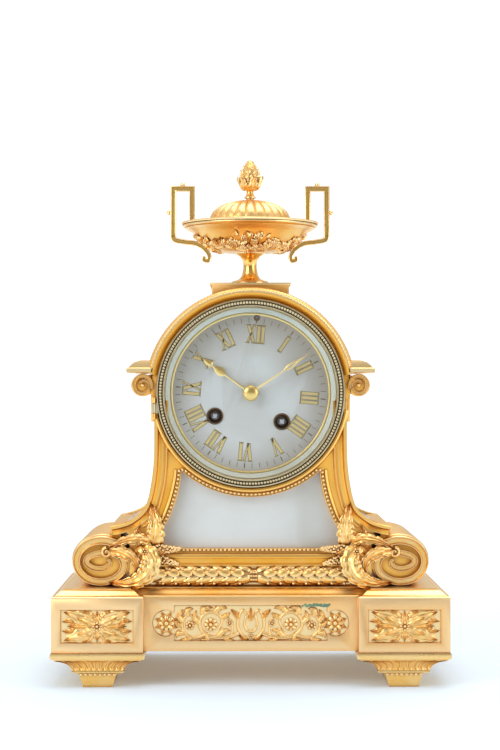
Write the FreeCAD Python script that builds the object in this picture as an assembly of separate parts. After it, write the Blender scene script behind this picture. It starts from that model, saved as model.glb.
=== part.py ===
"""Mantel clock with an urn: gilt-bronze and onyx case, and an eight-day striking movement.

Millimetres. X is to the right, Y goes back, Z is up. The origin is under the middle of the plinth, on the
surface that the clock stands on. The movement is drawn in its own frame, u to the right and v up, with its
centre on the dial's centre, and is turned a little in its case.
"""
import FreeCAD, Part
import math
import os

V = FreeCAD.Vector
os.makedirs("parts", exist_ok=True)

# ---------------------------------------------------------------- driving dimensions
# plinth
BLOCK_HALF_WIDTH = 129.5
PLINTH_HALF_DEPTH = 74.0
PAVILION_WIDTH = 59.5
BREAK_DEPTH = 9.0
PLINTH_WALL = 5.0
BLOCK_HEIGHT = 35.2
FOOT_HEIGHT = 22.6
FOOT_CAP_HEIGHT = 4.0
FOOT_CAP_WIDTH = 61.4
FOOT_CAP_DEPTH = 56.0
FOOT_TOE_WIDTH = 21.0
TOP_MOULDING_HEIGHT = 5.8
TOP_MOULDING_SET_IN = 8.2
PLAQUE_WIDTH = 47.5
PLAQUE_HEIGHT = 21.7
PLAQUE_RECESS = 2.0
PLAQUE_THICK = 1.4
FRIEZE_WIDTH = 100.3
FRIEZE_HEIGHT = 23.2
FRIEZE_END_RADIUS = 8.75

# body
BODY_FRONT = -52.0
BODY_BACK = 58.0
FRAME_THICK = 6.0
WAIST_HALF_WIDTH = 63.7
STEP_HALF_WIDTH = 92.4
STEP_RISE = 39.8
SCROLL_CENTRE_X = 98.4
SCROLL_RADIUS_X = 19.2
SCROLL_RADIUS_Z = 16.5
DIAL_RISE = 127.4
BEZEL_RADIUS = 62.0
BEZEL_SIGHT_RADIUS = 56.6
ARCH_RADIUS = 65.7
CORNICE_RADIUS = 69.9
WING_HALF_WIDTH = 81.8
WING_RISE = 13.3
WING_HEIGHT = 8.5
PANEL_ARC_RADIUS = 68.5
PANEL_TOP_HALF_WIDTH = 45.8
PANEL_FOOT_HALF_WIDTH = 69.5
PANEL_FOOT_RISE = 24.8
FRAME_FOOT_HALF_WIDTH = 80.0
RAIL_HALF_WIDTH = 68.0
RAIL_LOW = 13.3
RAIL_HIGH = 21.5
RAIL_PROUD = 3.0
LAUREL_HALF_WIDTH = 66.0
LAUREL_RISE = 7.4
LAUREL_RADIUS = 5.3
VOLUTE_X = 71.4
VOLUTE_DROP = 8.1
VOLUTE_RADIUS = 7.4
COVE_RADIUS = 62.7
ONYX_THICK = 5.0
ROOF_THICK = 4.9
CORNICE_PROUD = 5.0

# urn
URN_BLOCK_WIDTH = 52.0
URN_BLOCK_DEPTH = 56.0
URN_BLOCK_TOP = 4.4
SOCLE_HEIGHT = 22.0
BOWL_RADIUS = 47.0
BOWL_HEIGHT = 20.8
BOWL_WALL = 2.0
LID_RADIUS = 30.0
LID_HEIGHT = 17.0
FINIAL_HEIGHT = 26.6
HANDLE_HALF_SPAN = 54.8
HANDLE_BAR = 3.8
HANDLE_RISE = 25.4
TIE_ROD_RADIUS = 2.0

# dial and hands
DIAL_RADIUS = 56.4
DIAL_FRONT = -46.0
DIAL_THICK = 4.0
DIAL_RING_RADIUS = 53.3
DIAL_RING_WIDTH = 1.5
GLASS_FRONT = -58.5
GLASS_THICK = 1.6
BEZEL_FRONT = -61.0
HOUR_HAND_LENGTH = 43.0
MINUTE_HAND_LENGTH = 47.0
HOUR_HAND_ANGLE = -59.3
MINUTE_HAND_ANGLE = 51.0
HAND_THICK = 0.6
WINDING_HOLE_RADIUS = 5.5
WINDING_SQUARE = 2.9
RATE_ARBOR_RISE = 50.0
RATE_ARBOR_RADIUS = 0.75

# movement
MOVEMENT_TURN = 4.8
PLATE_RADIUS = 48.5
PLATE_THICK = 2.0
FRONT_PLATE_FRONT = -33.0
PLATE_GAP = 36.0
PILLAR_RADIUS = 3.0
PILLAR_CIRCLE = 44.0
PILLAR_ANGLES = (35.0, 145.0, 247.0, 293.0)
DIAL_FOOT_CIRCLE = 45.5
DIAL_FOOT_RADIUS = 1.5
DIAL_FOOT_ANGLES = (0.0, 62.0, 118.0, 180.0, 270.0)
WINDING_HALF_SPACING = 22.3
WINDING_DROP = 17.2
DRUM_RADIUS = 17.2
PENDULUM_LENGTH = 126.8
BOB_RADIUS = 17.0
BOB_THICK = 8.0
PENDULUM_BEHIND = 9.0
ANCHOR_V = 35.5
ESCAPE_V = 24.0
ESCAPE_TEETH = 40
ESCAPE_RADIUS = 8.0
PALLET_RADIUS = 8.75
BELL_RADIUS = 30.0
BELL_V = -14.0

# fixings and hinges
STUD_RADIUS = 2.5
BOLT_RADIUS = 2.0
BOLT_HEAD_RADIUS = 4.0
HINGE_X = -63.7
HINGE_Y = -59.6
KNUCKLE_RADIUS = 1.25
PIN_RADIUS = 0.6
KNUCKLE_HALF = 3.3
LUG_LENGTH = 3.5

# bezel seat, glass and rear opening
SEAT_RADIUS = 59.3
GLASS_RADIUS = 58.1
PAN_MOUTH = 42.5
STRAP_OUTER = 52.2
STRAP_THICK = 1.5
STRAP_HALF_WIDTH = 5.0
DOOR_RADIUS = 49.4
DOOR_THICK = 1.8
RING_MOUTH = 50.0
REAR_MOUTH = 54.0
DOOR_HINGE_X = 51.6

# arbors and pipes
HOUR_PIPE_RADIUS = 3.2
CANNON_PIPE_RADIUS = 2.2
CENTRE_ARBOR_RADIUS = 1.2
ARBOR_RADIUS = 0.9
PIVOT_RADIUS = 0.6
SLIM_ARBOR_RADIUS = 0.75
WINDING_ARBOR_RADIUS = 2.4
WINDING_PIVOT_RADIUS = 2.0
COUNT_PIVOT_RADIUS = 0.9
STUD_PIN_RADIUS = 0.9
MINUTE_STUD_RADIUS = 1.0

# teeth: widths are shares of a pitch, heights are shares of a module
ROOT_HALF_TOOTH = 0.22
PINION_ROOT_HALF_TOOTH = 0.19
TIP_HALF_TOOTH = 0.08
ADDENDUM = 0.75
DEDENDUM = 1.2

# going train
GREAT_TEETH = 80
GREAT_MODULE = 0.475
SECOND_PINION = 10
GOING_SECOND_TEETH = 64
GOING_SECOND_MODULE = 0.5
CENTRE_PINION = 10
CENTRE_TEETH = 84
CENTRE_MODULE = 0.38
THIRD_PINION = 8
THIRD_TEETH = 96
THIRD_MODULE = 0.3
ESCAPE_PINION = 8

# strike train
STRIKE_SECOND_TEETH = 72
STRIKE_SECOND_MODULE = 0.4
PIN_PINION = 8
PIN_TEETH = 64
PIN_MODULE = 0.33
FLY_PINION = 8
PINS = 10
PIN_CIRCLE = 8.5

# motion work
CANNON_TEETH = 12
MINUTE_TEETH = 36
MINUTE_MODULE = 0.5
MINUTE_PINION = 10
HOUR_TEETH = 40
HOUR_MODULE = 0.48

# barrels, ratchets and clicks
DRUM_FRONT = 4.0
DRUM_BACK = 25.0
DRUM_WALL = 1.2
GREAT_BACK = 27.0
CAP_FRONT = 3.0
RATCHET_TEETH = 24
RATCHET_MODULE = 0.5
CLICK_DIRECTION = 10.0
CLICK_PIVOT_OUT = 8.2
CLICK_PIVOT_ALONG = 7.5

# pendulum, hammer and bell
CRUTCH_LENGTH = 34.0
ROD_RADIUS = 1.0
HAMMER_PIVOT = (-38.0, -27.0)
HAMMER_HEAD = (-34.0, -10.0)
HAMMER_STUD_RADIUS = 1.2
BELL_STAND = (30.0, -33.0)
BELL_BEHIND = 15.0
BELL_DEPTH = 22.0
BELL_WALL = 1.2
BELL_STUD_RADIUS = 2.0

# clearances
RUNNING = 0.05
FREE = 0.3
SEAT = 0.1

# ---------------------------------------------------------------- places worked out from them
BLOCK_TOP = FOOT_HEIGHT + BLOCK_HEIGHT
BODY_BASE = BLOCK_TOP + TOP_MOULDING_HEIGHT
DIAL_Z = BODY_BASE + DIAL_RISE
WING_BASE = DIAL_Z + WING_RISE
STEP_Z = BODY_BASE + STEP_RISE
FRAME_BACK = BODY_FRONT + FRAME_THICK
REAR_FRAME_FRONT = BODY_BACK - FRAME_THICK
CORNICE_FRONT = BODY_FRONT - CORNICE_PROUD
CORNICE_BACK = BODY_BACK + 2.0
SCROLL_Z = BODY_BASE + SCROLL_RADIUS_Z + SEAT
FOOT_X = BLOCK_HALF_WIDTH + 0.7 - FOOT_CAP_WIDTH / 2
FOOT_Y = PLINTH_HALF_DEPTH + 1.2 - FOOT_CAP_DEPTH / 2
BLOCK_SEAT_Z = DIAL_Z + CORNICE_RADIUS
URN_BASE = BLOCK_SEAT_Z + URN_BLOCK_TOP
BOWL_BASE = URN_BASE + SOCLE_HEIGHT
BOWL_RIM = BOWL_BASE + BOWL_HEIGHT
LID_TOP = BOWL_RIM + LID_HEIGHT
FRONT_PLATE_BACK = FRONT_PLATE_FRONT + PLATE_THICK
BACK_PLATE_FRONT = FRONT_PLATE_BACK + PLATE_GAP
BACK_PLATE_BACK = BACK_PLATE_FRONT + PLATE_THICK
PENDULUM_Y = BACK_PLATE_BACK + PENDULUM_BEHIND
BELL_FRONT = BACK_PLATE_BACK + BELL_BEHIND
TURN = math.radians(MOVEMENT_TURN)
FOOT_PLACES = [(sx * FOOT_X, sy * FOOT_Y) for sx in (-1, 1) for sy in (-1, 1)]
PLAQUE_Z = FOOT_HEIGHT + BLOCK_HEIGHT / 2 - 0.3
PLAQUE_X = BLOCK_HALF_WIDTH - PAVILION_WIDTH / 2
MIDDLE_FRONT = -PLINTH_HALF_DEPTH + BREAK_DEPTH
BOLT_PLACES = [(sx * SCROLL_CENTRE_X, y) for sx in (-1, 1) for y in (-34.0, 40.0)]
PLAQUE_FRONT = PLAQUE_RECESS - PLAQUE_THICK
SHOULDER_Z = DIAL_Z - 5.0
LEDGE_BASE = STEP_Z - 2.2
HINGE_Z = DIAL_Z - 10.0
DOOR_Y0 = BODY_BACK + 0.2
DOOR_HINGE_Y = BODY_BACK + 3.2
SIDE_PANEL_TOP = DIAL_Z - 19.0
ROD_HOLE = TIE_ROD_RADIUS + SEAT
ROD_TOP = LID_TOP + 8.0
PAN_BACK = DIAL_FRONT + DIAL_THICK + 1.5
WINDING_PLACES = [(side * WINDING_HALF_SPACING, -WINDING_DROP) for side in (1, -1)]
RATCHET_FRONT = FRONT_PLATE_FRONT - 2.2
RATCHET_BACK = FRONT_PLATE_FRONT - 0.6
CANNON_FRONT = DIAL_FRONT - 5.5
HOUR_WHEEL_FRONT = FRONT_PLATE_FRONT - 5.6
MINUTE_WHEEL_FRONT = FRONT_PLATE_FRONT - 3.0
HOUR_HAND_BACK = DIAL_FRONT - 2.9
MINUTE_HAND_BACK = CANNON_FRONT + HAND_THICK
BELL_CENTRE = (0.0, BELL_V)


# ---------------------------------------------------------------- solid helpers
def box(x0, x1, y0, y1, z0, z1):
    return Part.makeBox(x1 - x0, y1 - y0, z1 - z0, V(x0, y0, z0))


def rod(x, z, radius, y0, y1):
    """A cylinder along Y."""
    return Part.makeCylinder(radius, y1 - y0, V(x, y0, z), V(0, 1, 0))


def post(x, y, radius, z0, z1):
    """A cylinder along Z."""
    return Part.makeCylinder(radius, z1 - z0, V(x, y, z0))


def ring(x, z, outer, inner, y0, y1):
    return rod(x, z, outer, y0, y1).cut(rod(x, z, inner, y0 - 1, y1 + 1))


def prism(points, y0, y1):
    """A straight-sided outline of (x, z) points, pushed from y0 to y1."""
    corners = [V(x, y0, z) for x, z in points]
    face = Part.Face(Part.makePolygon(corners + corners[:1]))
    return face.extrude(V(0, y1 - y0, 0))


def curved_wire(path, y):
    """A closed wire in (x, z). After the start, 2 numbers are a line's end, and 4 an arc's middle and end."""
    at = V(path[0][0], y, path[0][1])
    start = at
    edges = []
    for step in path[1:]:
        end = V(step[-2], y, step[-1])
        if len(step) == 4:
            edges.append(Part.Arc(at, V(step[0], y, step[1]), end).toShape())
        elif end.distanceToPoint(at) > 1e-6:
            edges.append(Part.makeLine(at, end))
        at = end
    if at.distanceToPoint(start) > 1e-6:
        edges.append(Part.makeLine(at, start))
    return Part.Wire(edges)


def curved_prism(path, y0, y1):
    return Part.Face(curved_wire(path, y0)).extrude(V(0, y1 - y0, 0))


def both_sides(path):
    """A right-hand path from the bottom centre to the top centre, closed by its mirror image."""
    ends = [(step[-2], step[-1]) for step in path]
    back = []
    for index in range(len(path) - 1, 0, -1):
        step = path[index]
        x, z = ends[index - 1]
        if len(step) == 4:
            back.append((-step[0], step[1], -x, z))
        else:
            back.append((-x, z))
    return list(path) + back


def mirror_x(shape):
    return shape.mirror(V(0, 0, 0), V(1, 0, 0))


def pair(shape):
    return [shape, mirror_x(shape)]


def lathe(profile, x=0.0, y=0.0):
    """A solid turned about a vertical axis from a closed outline of (radius, z) points."""
    corners = [V(radius, 0, z) for radius, z in profile]
    face = Part.Face(Part.makePolygon(corners + corners[:1]))
    solid = face.revolve(V(0, 0, 0), V(0, 0, 1), 360)
    solid.translate(V(x, y, 0))
    return solid


def lathe_y(profile, x, z):
    """A solid turned about an axis along Y from a closed outline of (radius, y) points."""
    corners = [V(radius, y, 0) for radius, y in profile]
    face = Part.Face(Part.makePolygon(corners + corners[:1]))
    solid = face.revolve(V(0, 0, 0), V(0, 1, 0), 360)
    solid.translate(V(x, 0, z))
    return solid


def stacked(sections):
    """Straight-sided shells between flat polygons, one above another, as one solid."""
    wires = [Part.makePolygon(points + points[:1]) for points in sections]
    return Part.makeLoft(wires, True, True)


def fused(shapes):
    return shapes[0].multiFuse(shapes[1:]).removeSplitter()


def drilled(shape, holes):
    return shape.cut(Part.makeCompound(holes))


def save(name, shapes):
    shapes = shapes if isinstance(shapes, list) else [shapes]
    solids = [solid for shape in shapes for solid in shape.Solids]
    shape = solids[0] if len(solids) == 1 else Part.makeCompound(solids)
    shape.exportStep("parts/" + name + ".step")
    good = all(solid.isValid() and solid.Volume > 0 for solid in solids)
    print(f"{name}: {len(solids)} solids, {shape.Volume:.1f} mm3{'' if good else ', NOT VALID'}")


def in_case(shapes):
    """Turns shapes drawn in the movement's frame to their place in the case."""
    placed = []
    for shape in shapes if isinstance(shapes, list) else [shapes]:
        shape = shape.copy()
        shape.rotate(V(0, 0, 0), V(0, 1, 0), MOVEMENT_TURN)
        shape.translate(V(0, 0, DIAL_Z))
        placed.append(shape)
    return placed


def case_point(u, v):
    x = u * math.cos(TURN) + v * math.sin(TURN)
    z = DIAL_Z - u * math.sin(TURN) + v * math.cos(TURN)
    return x, z


# ---------------------------------------------------------------- plinth and feet
def plinth_plan(inset, z):
    """The plinth's plan, with its two front corners standing forward of the middle."""
    half_x = BLOCK_HALF_WIDTH - inset
    front = -PLINTH_HALF_DEPTH + inset
    inner_x = BLOCK_HALF_WIDTH - PAVILION_WIDTH + inset
    middle = front + BREAK_DEPTH
    back = PLINTH_HALF_DEPTH - inset
    right = [(inner_x, middle), (inner_x, front), (half_x, front), (half_x, back)]
    left = [(-x, y) for x, y in reversed(right)]
    return [V(x, y, z) for x, y in right + left]


def foot(x, y):
    """A square foot: cap, hollow-curved neck and tapering toe."""
    cap_base = FOOT_HEIGHT - FOOT_CAP_HEIGHT
    neck_top = cap_base - 1.0
    neck_base = 10.5
    neck_half = 17.0
    flare = FOOT_CAP_WIDTH / 2 - 1.4 - neck_half
    levels = [(FOOT_TOE_WIDTH / 2, 0.0), (13.9, neck_base - 1.0), (neck_half, neck_base - 1.0)]
    levels += [(neck_half, neck_base)]
    for step in range(1, 6):
        angle = step / 5 * math.pi / 2
        rise = neck_base + (neck_top - neck_base) * math.sin(angle)
        levels.append((neck_half + flare * (1 - math.cos(angle)), rise))
    slabs = []
    shorten = (FOOT_CAP_WIDTH - FOOT_CAP_DEPTH) / 2
    for (low_half, low), (high_half, high) in zip(levels, levels[1:]):
        if high - low < 0.01:
            continue
        pairs = []
        for half, z in ((low_half, low), (high_half, high)):
            depth = half - shorten * (half - FOOT_TOE_WIDTH / 2) / (FOOT_CAP_WIDTH / 2 - FOOT_TOE_WIDTH / 2)
            corner = [(-half, -depth), (half, -depth), (half, depth), (-half, depth)]
            pairs.append([V(x + a, y + b, z) for a, b in corner])
        slabs.append(stacked(pairs))
    half_x = FOOT_CAP_WIDTH / 2
    half_y = FOOT_CAP_DEPTH / 2
    slabs.append(box(x - half_x + 1, x + half_x - 1, y - half_y + 1, y + half_y - 1, neck_top, cap_base))
    slabs.append(box(x - half_x, x + half_x, y - half_y, y + half_y, cap_base, FOOT_HEIGHT))
    return drilled(fused(slabs), [post(x, y, STUD_RADIUS + SEAT, FOOT_HEIGHT - 14, FOOT_HEIGHT + 1)])


def plinth_body():
    outer = stacked([plinth_plan(0.0, FOOT_HEIGHT), plinth_plan(0.0, BLOCK_TOP)])
    floor = FOOT_HEIGHT + PLINTH_WALL
    inner = stacked([plinth_plan(PLINTH_WALL, floor), plinth_plan(PLINTH_WALL, BLOCK_TOP + 1)])
    holes = [post(x, y, STUD_RADIUS + SEAT, FOOT_HEIGHT - 1, floor + 1) for x, y in FOOT_PLACES]
    recesses = [plaque_outline(0.0, -1.0, PLAQUE_RECESS, side) for side in (-1, 1)]
    recesses.append(frieze_outline(0.0, -1.0, PLAQUE_RECESS))
    return drilled(outer.cut(inner), holes + recesses)


def plaque_outline(shrink, front, back, side):
    """The corner plaque's block, from front to back behind the pavilion's face."""
    half_x = PLAQUE_WIDTH / 2 - shrink
    half_z = PLAQUE_HEIGHT / 2 - shrink
    x = side * PLAQUE_X
    face = -PLINTH_HALF_DEPTH
    return box(x - half_x, x + half_x, face + front, face + back, PLAQUE_Z - half_z, PLAQUE_Z + half_z)


def frieze_outline(shrink, front, back):
    """The frieze plaque's block: a bar with a round end, behind the middle's face."""
    half_x = FRIEZE_WIDTH / 2 - shrink
    half_z = FRIEZE_HEIGHT / 2 - shrink
    y0 = MIDDLE_FRONT + front
    y1 = MIDDLE_FRONT + back
    z = PLAQUE_Z + 1.0
    bar = box(-half_x, half_x, y0, y1, z - half_z, z + half_z)
    end_x = FRIEZE_WIDTH / 2 + 5.4
    ends = [rod(side * end_x, z, FRIEZE_END_RADIUS - shrink, y0, y1) for side in (-1, 1)]
    return fused([bar] + ends)


def plinth_top():
    rise = TOP_MOULDING_HEIGHT
    curve = [(0.0, 0.0), (0.6, 0.12), (2.6, 0.36), (5.6, 0.62), (7.6, 0.82), (TOP_MOULDING_SET_IN, 1.0)]
    sections = [plinth_plan(inset, BLOCK_TOP + share * rise) for inset, share in curve]
    holes = [post(x, y, BOLT_RADIUS + SEAT, BLOCK_TOP - 1, BODY_BASE + 1) for x, y in BOLT_PLACES]
    return drilled(stacked(sections), holes)


save("feet", [foot(x, y) for x, y in FOOT_PLACES])
save("plinth_body", plinth_body())
save("plinth_top", plinth_top())
plaques = [plaque_outline(FREE, PLAQUE_FRONT, PLAQUE_RECESS, side) for side in (-1, 1)]
save("plinth_plaques", plaques + [frieze_outline(FREE, PLAQUE_FRONT, PLAQUE_RECESS)])

# ---------------------------------------------------------------- body


def frame_path():
    """The right half of the front and back frames: foot, ledge, hollow sweep, waist and arch."""
    eighth = ARCH_RADIUS / math.sqrt(2)
    return [
        (0.0, BODY_BASE),
        (FRAME_FOOT_HALF_WIDTH, BODY_BASE),
        (FRAME_FOOT_HALF_WIDTH, LEDGE_BASE - 4.0),
        (84.0, LEDGE_BASE),
        (STEP_HALF_WIDTH, LEDGE_BASE),
        (STEP_HALF_WIDTH, STEP_Z),
        (85.6, STEP_Z + 1.4, 79.0, STEP_Z + 4.0),
        (70.6, STEP_Z + 11.3, 66.6, STEP_Z + 22.6),
        (64.3, STEP_Z + 38.0, WAIST_HALF_WIDTH, STEP_Z + 54.6),
        (WAIST_HALF_WIDTH, SHOULDER_Z),
        (ARCH_RADIUS, DIAL_Z),
        (eighth, DIAL_Z + eighth, 0.0, DIAL_Z + ARCH_RADIUS),
    ]


def panel_path(grow=0.0):
    """The right half of the onyx window: wide foot, hollow side, and an arc round the bezel."""
    foot_z = BODY_BASE + PANEL_FOOT_RISE - grow
    top_x = PANEL_TOP_HALF_WIDTH
    top_z = DIAL_Z - math.sqrt(PANEL_ARC_RADIUS**2 - top_x**2)
    middle_z = DIAL_Z - math.sqrt(PANEL_ARC_RADIUS**2 - top_x**2 / 4)
    return [
        (0.0, foot_z),
        (PANEL_FOOT_HALF_WIDTH + grow, foot_z),
        (51.6 + grow, BODY_BASE + 50.6, top_x + grow, top_z + grow),
        (top_x / 2, middle_z + grow, 0.0, DIAL_Z - PANEL_ARC_RADIUS + grow),
    ]


def lugs(x, y, z, root_x, root_y):
    """Two fixed hinge lugs, one above and one below a knuckle, with their webs."""
    pieces = []
    for low in (z - KNUCKLE_HALF - FREE - LUG_LENGTH, z + KNUCKLE_HALF + FREE):
        knuckle = post(x, y, KNUCKLE_RADIUS, low, low + LUG_LENGTH)
        x0, x1 = sorted((x - math.copysign(KNUCKLE_RADIUS, x), root_x))
        y0, y1 = sorted((y, root_y))
        web = box(x0, x1, y0, y1, low, low + LUG_LENGTH)
        hole = post(x, y, PIN_RADIUS, low - 1, low + LUG_LENGTH + 1)
        pieces.append(fused([knuckle, web]).cut(hole))
    return pieces


def front_frame():
    plate = curved_prism(both_sides(frame_path()), BODY_FRONT, FRAME_BACK)
    window = curved_prism(both_sides(panel_path()), BODY_FRONT - 1, FRAME_BACK + 1)
    mouth = rod(0, DIAL_Z, SEAT_RADIUS + FREE, BODY_FRONT - 1, FRAME_BACK + 1)
    half_x = RAIL_HALF_WIDTH
    rail_z = (BODY_BASE + RAIL_LOW, BODY_BASE + RAIL_HIGH)
    rail = box(-half_x, half_x, BODY_FRONT - RAIL_PROUD, BODY_FRONT + 1, *rail_z)
    ears = lugs(HINGE_X, HINGE_Y, HINGE_Z, HINGE_X - KNUCKLE_RADIUS, BODY_FRONT + 1)
    return fused([plate.cut(window).cut(mouth), rail] + ears)


def back_frame():
    plate = curved_prism(both_sides(frame_path()), REAR_FRAME_FRONT, BODY_BACK)
    window = curved_prism(both_sides(panel_path()), REAR_FRAME_FRONT - 1, BODY_BACK - 3.0)
    mouth = rod(0, DIAL_Z, REAR_MOUTH, REAR_FRAME_FRONT - 1, BODY_BACK + 1)
    return plate.cut(window).cut(mouth)


def side_scrolls():
    """For each side: the lower volute drum with the ledge it carries, and the shoulder with its volute."""
    drum = Part.Wire([Part.Ellipse(V(0, 0, 0), SCROLL_RADIUS_X, SCROLL_RADIUS_Z).toShape()])
    hollow = Part.Wire([Part.Ellipse(V(0, 0, 0), SCROLL_RADIUS_X - 4, SCROLL_RADIUS_Z - 4).toShape()])
    solids = []
    for wire, y0, y1 in ((drum, BODY_FRONT, BODY_BACK), (hollow, BODY_FRONT + 8, BODY_BACK - 8)):
        face = Part.Face(wire)
        face.rotate(V(0, 0, 0), V(1, 0, 0), 90)
        face.translate(V(SCROLL_CENTRE_X, y0, SCROLL_Z))
        solids.append(face.extrude(V(0, y1 - y0, 0)))
    ledge = box(76.0, STEP_HALF_WIDTH, FRAME_BACK, REAR_FRAME_FRONT, LEDGE_BASE, STEP_Z)
    neck = box(86.0, STEP_HALF_WIDTH, FRAME_BACK, REAR_FRAME_FRONT, SCROLL_Z + 10, LEDGE_BASE + 1)
    bolts = [post(x, y, BOLT_RADIUS + SEAT, BODY_BASE - 1, BODY_BASE + 8) for x, y in BOLT_PLACES if x > 0]
    lower = drilled(fused([solids[0], ledge, neck]).cut(solids[1]), bolts)
    foot_clear = box(70.0, FRAME_FOOT_HALF_WIDTH + SEAT, BODY_FRONT - 1, FRAME_BACK, BODY_BASE, STEP_Z)
    rear_clear = box(70.0, FRAME_FOOT_HALF_WIDTH + SEAT, REAR_FRAME_FRONT, BODY_BACK + 1, BODY_BASE, STEP_Z)
    lower = lower.cut(foot_clear).cut(rear_clear)
    web = box(SEAT_RADIUS + 0.9, 66.0, FRAME_BACK, REAR_FRAME_FRONT, SIDE_PANEL_TOP, WING_BASE)
    volute = rod(VOLUTE_X, WING_BASE - VOLUTE_DROP, VOLUTE_RADIUS - 1.7, BODY_FRONT, BODY_BACK)
    scroll_front = rod(VOLUTE_X, WING_BASE - VOLUTE_DROP, VOLUTE_RADIUS, BODY_FRONT, BODY_FRONT + 5)
    shoulder = fused([web, volute, scroll_front.cut(box(50, 66.0, -90, 90, SIDE_PANEL_TOP, 300))])
    return pair(lower) + pair(shoulder)


def side_panel():
    """A hollow-curved slab that stands on the ledge between the two frames."""
    outer_x = WAIST_HALF_WIDTH - 1.3
    inner_x = outer_x - ONYX_THICK
    path = [
        (84.0, STEP_Z),
        (72.2, STEP_Z + 7.4, 65.3, STEP_Z + 22.6),
        (62.9, STEP_Z + 38.0, outer_x, STEP_Z + 54.6),
        (outer_x, SIDE_PANEL_TOP),
        (inner_x, SIDE_PANEL_TOP),
        (inner_x, STEP_Z + 54.6),
        (57.8, STEP_Z + 36.0, 60.4, STEP_Z + 20.0),
        (66.4, STEP_Z + 7.0, 76.0, STEP_Z),
    ]
    return curved_prism(path, FRAME_BACK, REAR_FRAME_FRONT)


def front_panel():
    slab = curved_prism(both_sides(panel_path(3.0)), FRAME_BACK, FRAME_BACK + ONYX_THICK)
    return slab.cut(rod(0, DIAL_Z, SEAT_RADIUS + 2.0, FRAME_BACK - 1, FRAME_BACK + ONYX_THICK + 1))


def laurel_moulding():
    """A half-round bar along the foot of the front."""
    bar_z = BODY_BASE + LAUREL_RISE
    start = V(-LAUREL_HALF_WIDTH, BODY_FRONT - 1.0, bar_z)
    bar = Part.makeCylinder(LAUREL_RADIUS, 2 * LAUREL_HALF_WIDTH, start, V(1, 0, 0))
    half_x = LAUREL_HALF_WIDTH
    backing = box(-half_x, half_x, BODY_FRONT - 2.0, BODY_FRONT, BODY_BASE + 1.2, BODY_BASE + RAIL_LOW - SEAT)
    return fused([bar.cut(box(-90, 90, BODY_FRONT, 0, 0, 300)), backing])


def corner_mount():
    """The block that a corner's leaf spray fills, in front of the frame."""
    low = BODY_BASE + 0.6
    spray = [(47.5, low + 26), (47.5, low + 14), (66.6, low + 8), (74, low + 2), (86, low)]
    spray += [(96, low + 1), (96, low + 30), (80, low + 34), (70, low + 51), (63.6, low + 51), (62, low + 36)]
    y0 = BODY_FRONT - 10.5
    solid = prism(spray, y0, BODY_FRONT)
    rail_front = BODY_FRONT - RAIL_PROUD - SEAT
    rail_z = (BODY_BASE + RAIL_LOW - SEAT, BODY_BASE + RAIL_HIGH + SEAT)
    rail = box(0.0, RAIL_HALF_WIDTH + SEAT, rail_front, BODY_FRONT + 1, *rail_z)
    bar_front = BODY_FRONT - 1.0 - LAUREL_RADIUS - SEAT
    bar = box(0.0, LAUREL_HALF_WIDTH + SEAT, bar_front, BODY_FRONT + 1, BODY_BASE, BODY_BASE + RAIL_LOW)
    return solid.cut(rail).cut(bar)


def wing_outline(inner):
    """A wing beside the arch, with its leaf-cast slope above a flat edge."""
    wing = [(inner - 8.0, WING_BASE), (WING_HALF_WIDTH, WING_BASE), (WING_HALF_WIDTH, WING_BASE + 3.3)]
    wing += [(79.6, WING_BASE + 6.4), (73.0, WING_BASE + WING_HEIGHT), (66.0, WING_BASE + WING_HEIGHT + 2.0)]
    wing += [(inner - 8.0, WING_BASE + WING_HEIGHT + 2.0)]
    return wing


def cornice():
    shells = []
    over = (ARCH_RADIUS + 0.4, CORNICE_FRONT, CORNICE_BACK)
    front_cove = (COVE_RADIUS, CORNICE_FRONT, BODY_FRONT - 0.02)
    rear_cove = (COVE_RADIUS, BODY_BACK + 0.02, CORNICE_BACK)
    for inner, y0, y1 in (over, front_cove, rear_cove):
        arch = rod(0, DIAL_Z, CORNICE_RADIUS, y0, y1)
        arch = arch.cut(box(-90, 90, y0 - 1, y1 + 1, 0, WING_BASE))
        wings = pair(prism(wing_outline(inner), y0, y1))
        shell = fused([arch] + wings).cut(rod(0, DIAL_Z, inner, y0 - 1, y1 + 1))
        shells.append(shell)
    return fused(shells)


def roof():
    """The vault under the cornice, between the frames."""
    outer = ARCH_RADIUS
    vault = ring(0, DIAL_Z, outer, outer - ROOF_THICK, FRAME_BACK, REAR_FRAME_FRONT)
    vault = vault.cut(box(-90, 90, -90, 90, 0, WING_BASE))
    return drilled(vault, [post(0, 0, TIE_ROD_RADIUS + SEAT, DIAL_Z, 300)])


save("front_frame", front_frame())
save("back_frame", back_frame())
save("side_scrolls", side_scrolls())
save("side_panels", pair(side_panel()))
save("front_panel", front_panel())
save("laurel_moulding", laurel_moulding())
save("corner_mounts", pair(corner_mount()))
save("roof", roof())
save("cornice", drilled(cornice(), [post(0, 0, TIE_ROD_RADIUS + SEAT, DIAL_Z, 300)]))

# ---------------------------------------------------------------- urn


def urn_block():
    half_x = URN_BLOCK_WIDTH / 2
    half_y = URN_BLOCK_DEPTH / 2
    body = box(-half_x, half_x, -half_y, half_y, BLOCK_SEAT_Z - 8, URN_BASE - 1.4)
    cap = box(-half_x - 1.2, half_x + 1.2, -half_y - 1.2, half_y + 1.2, URN_BASE - 1.4, URN_BASE)
    saddle = rod(0, DIAL_Z, CORNICE_RADIUS + SEAT, -half_y - 5, half_y + 5)
    return drilled(fused([body, cap]).cut(saddle), [post(0, 0, ROD_HOLE, DIAL_Z, 300)])


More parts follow.
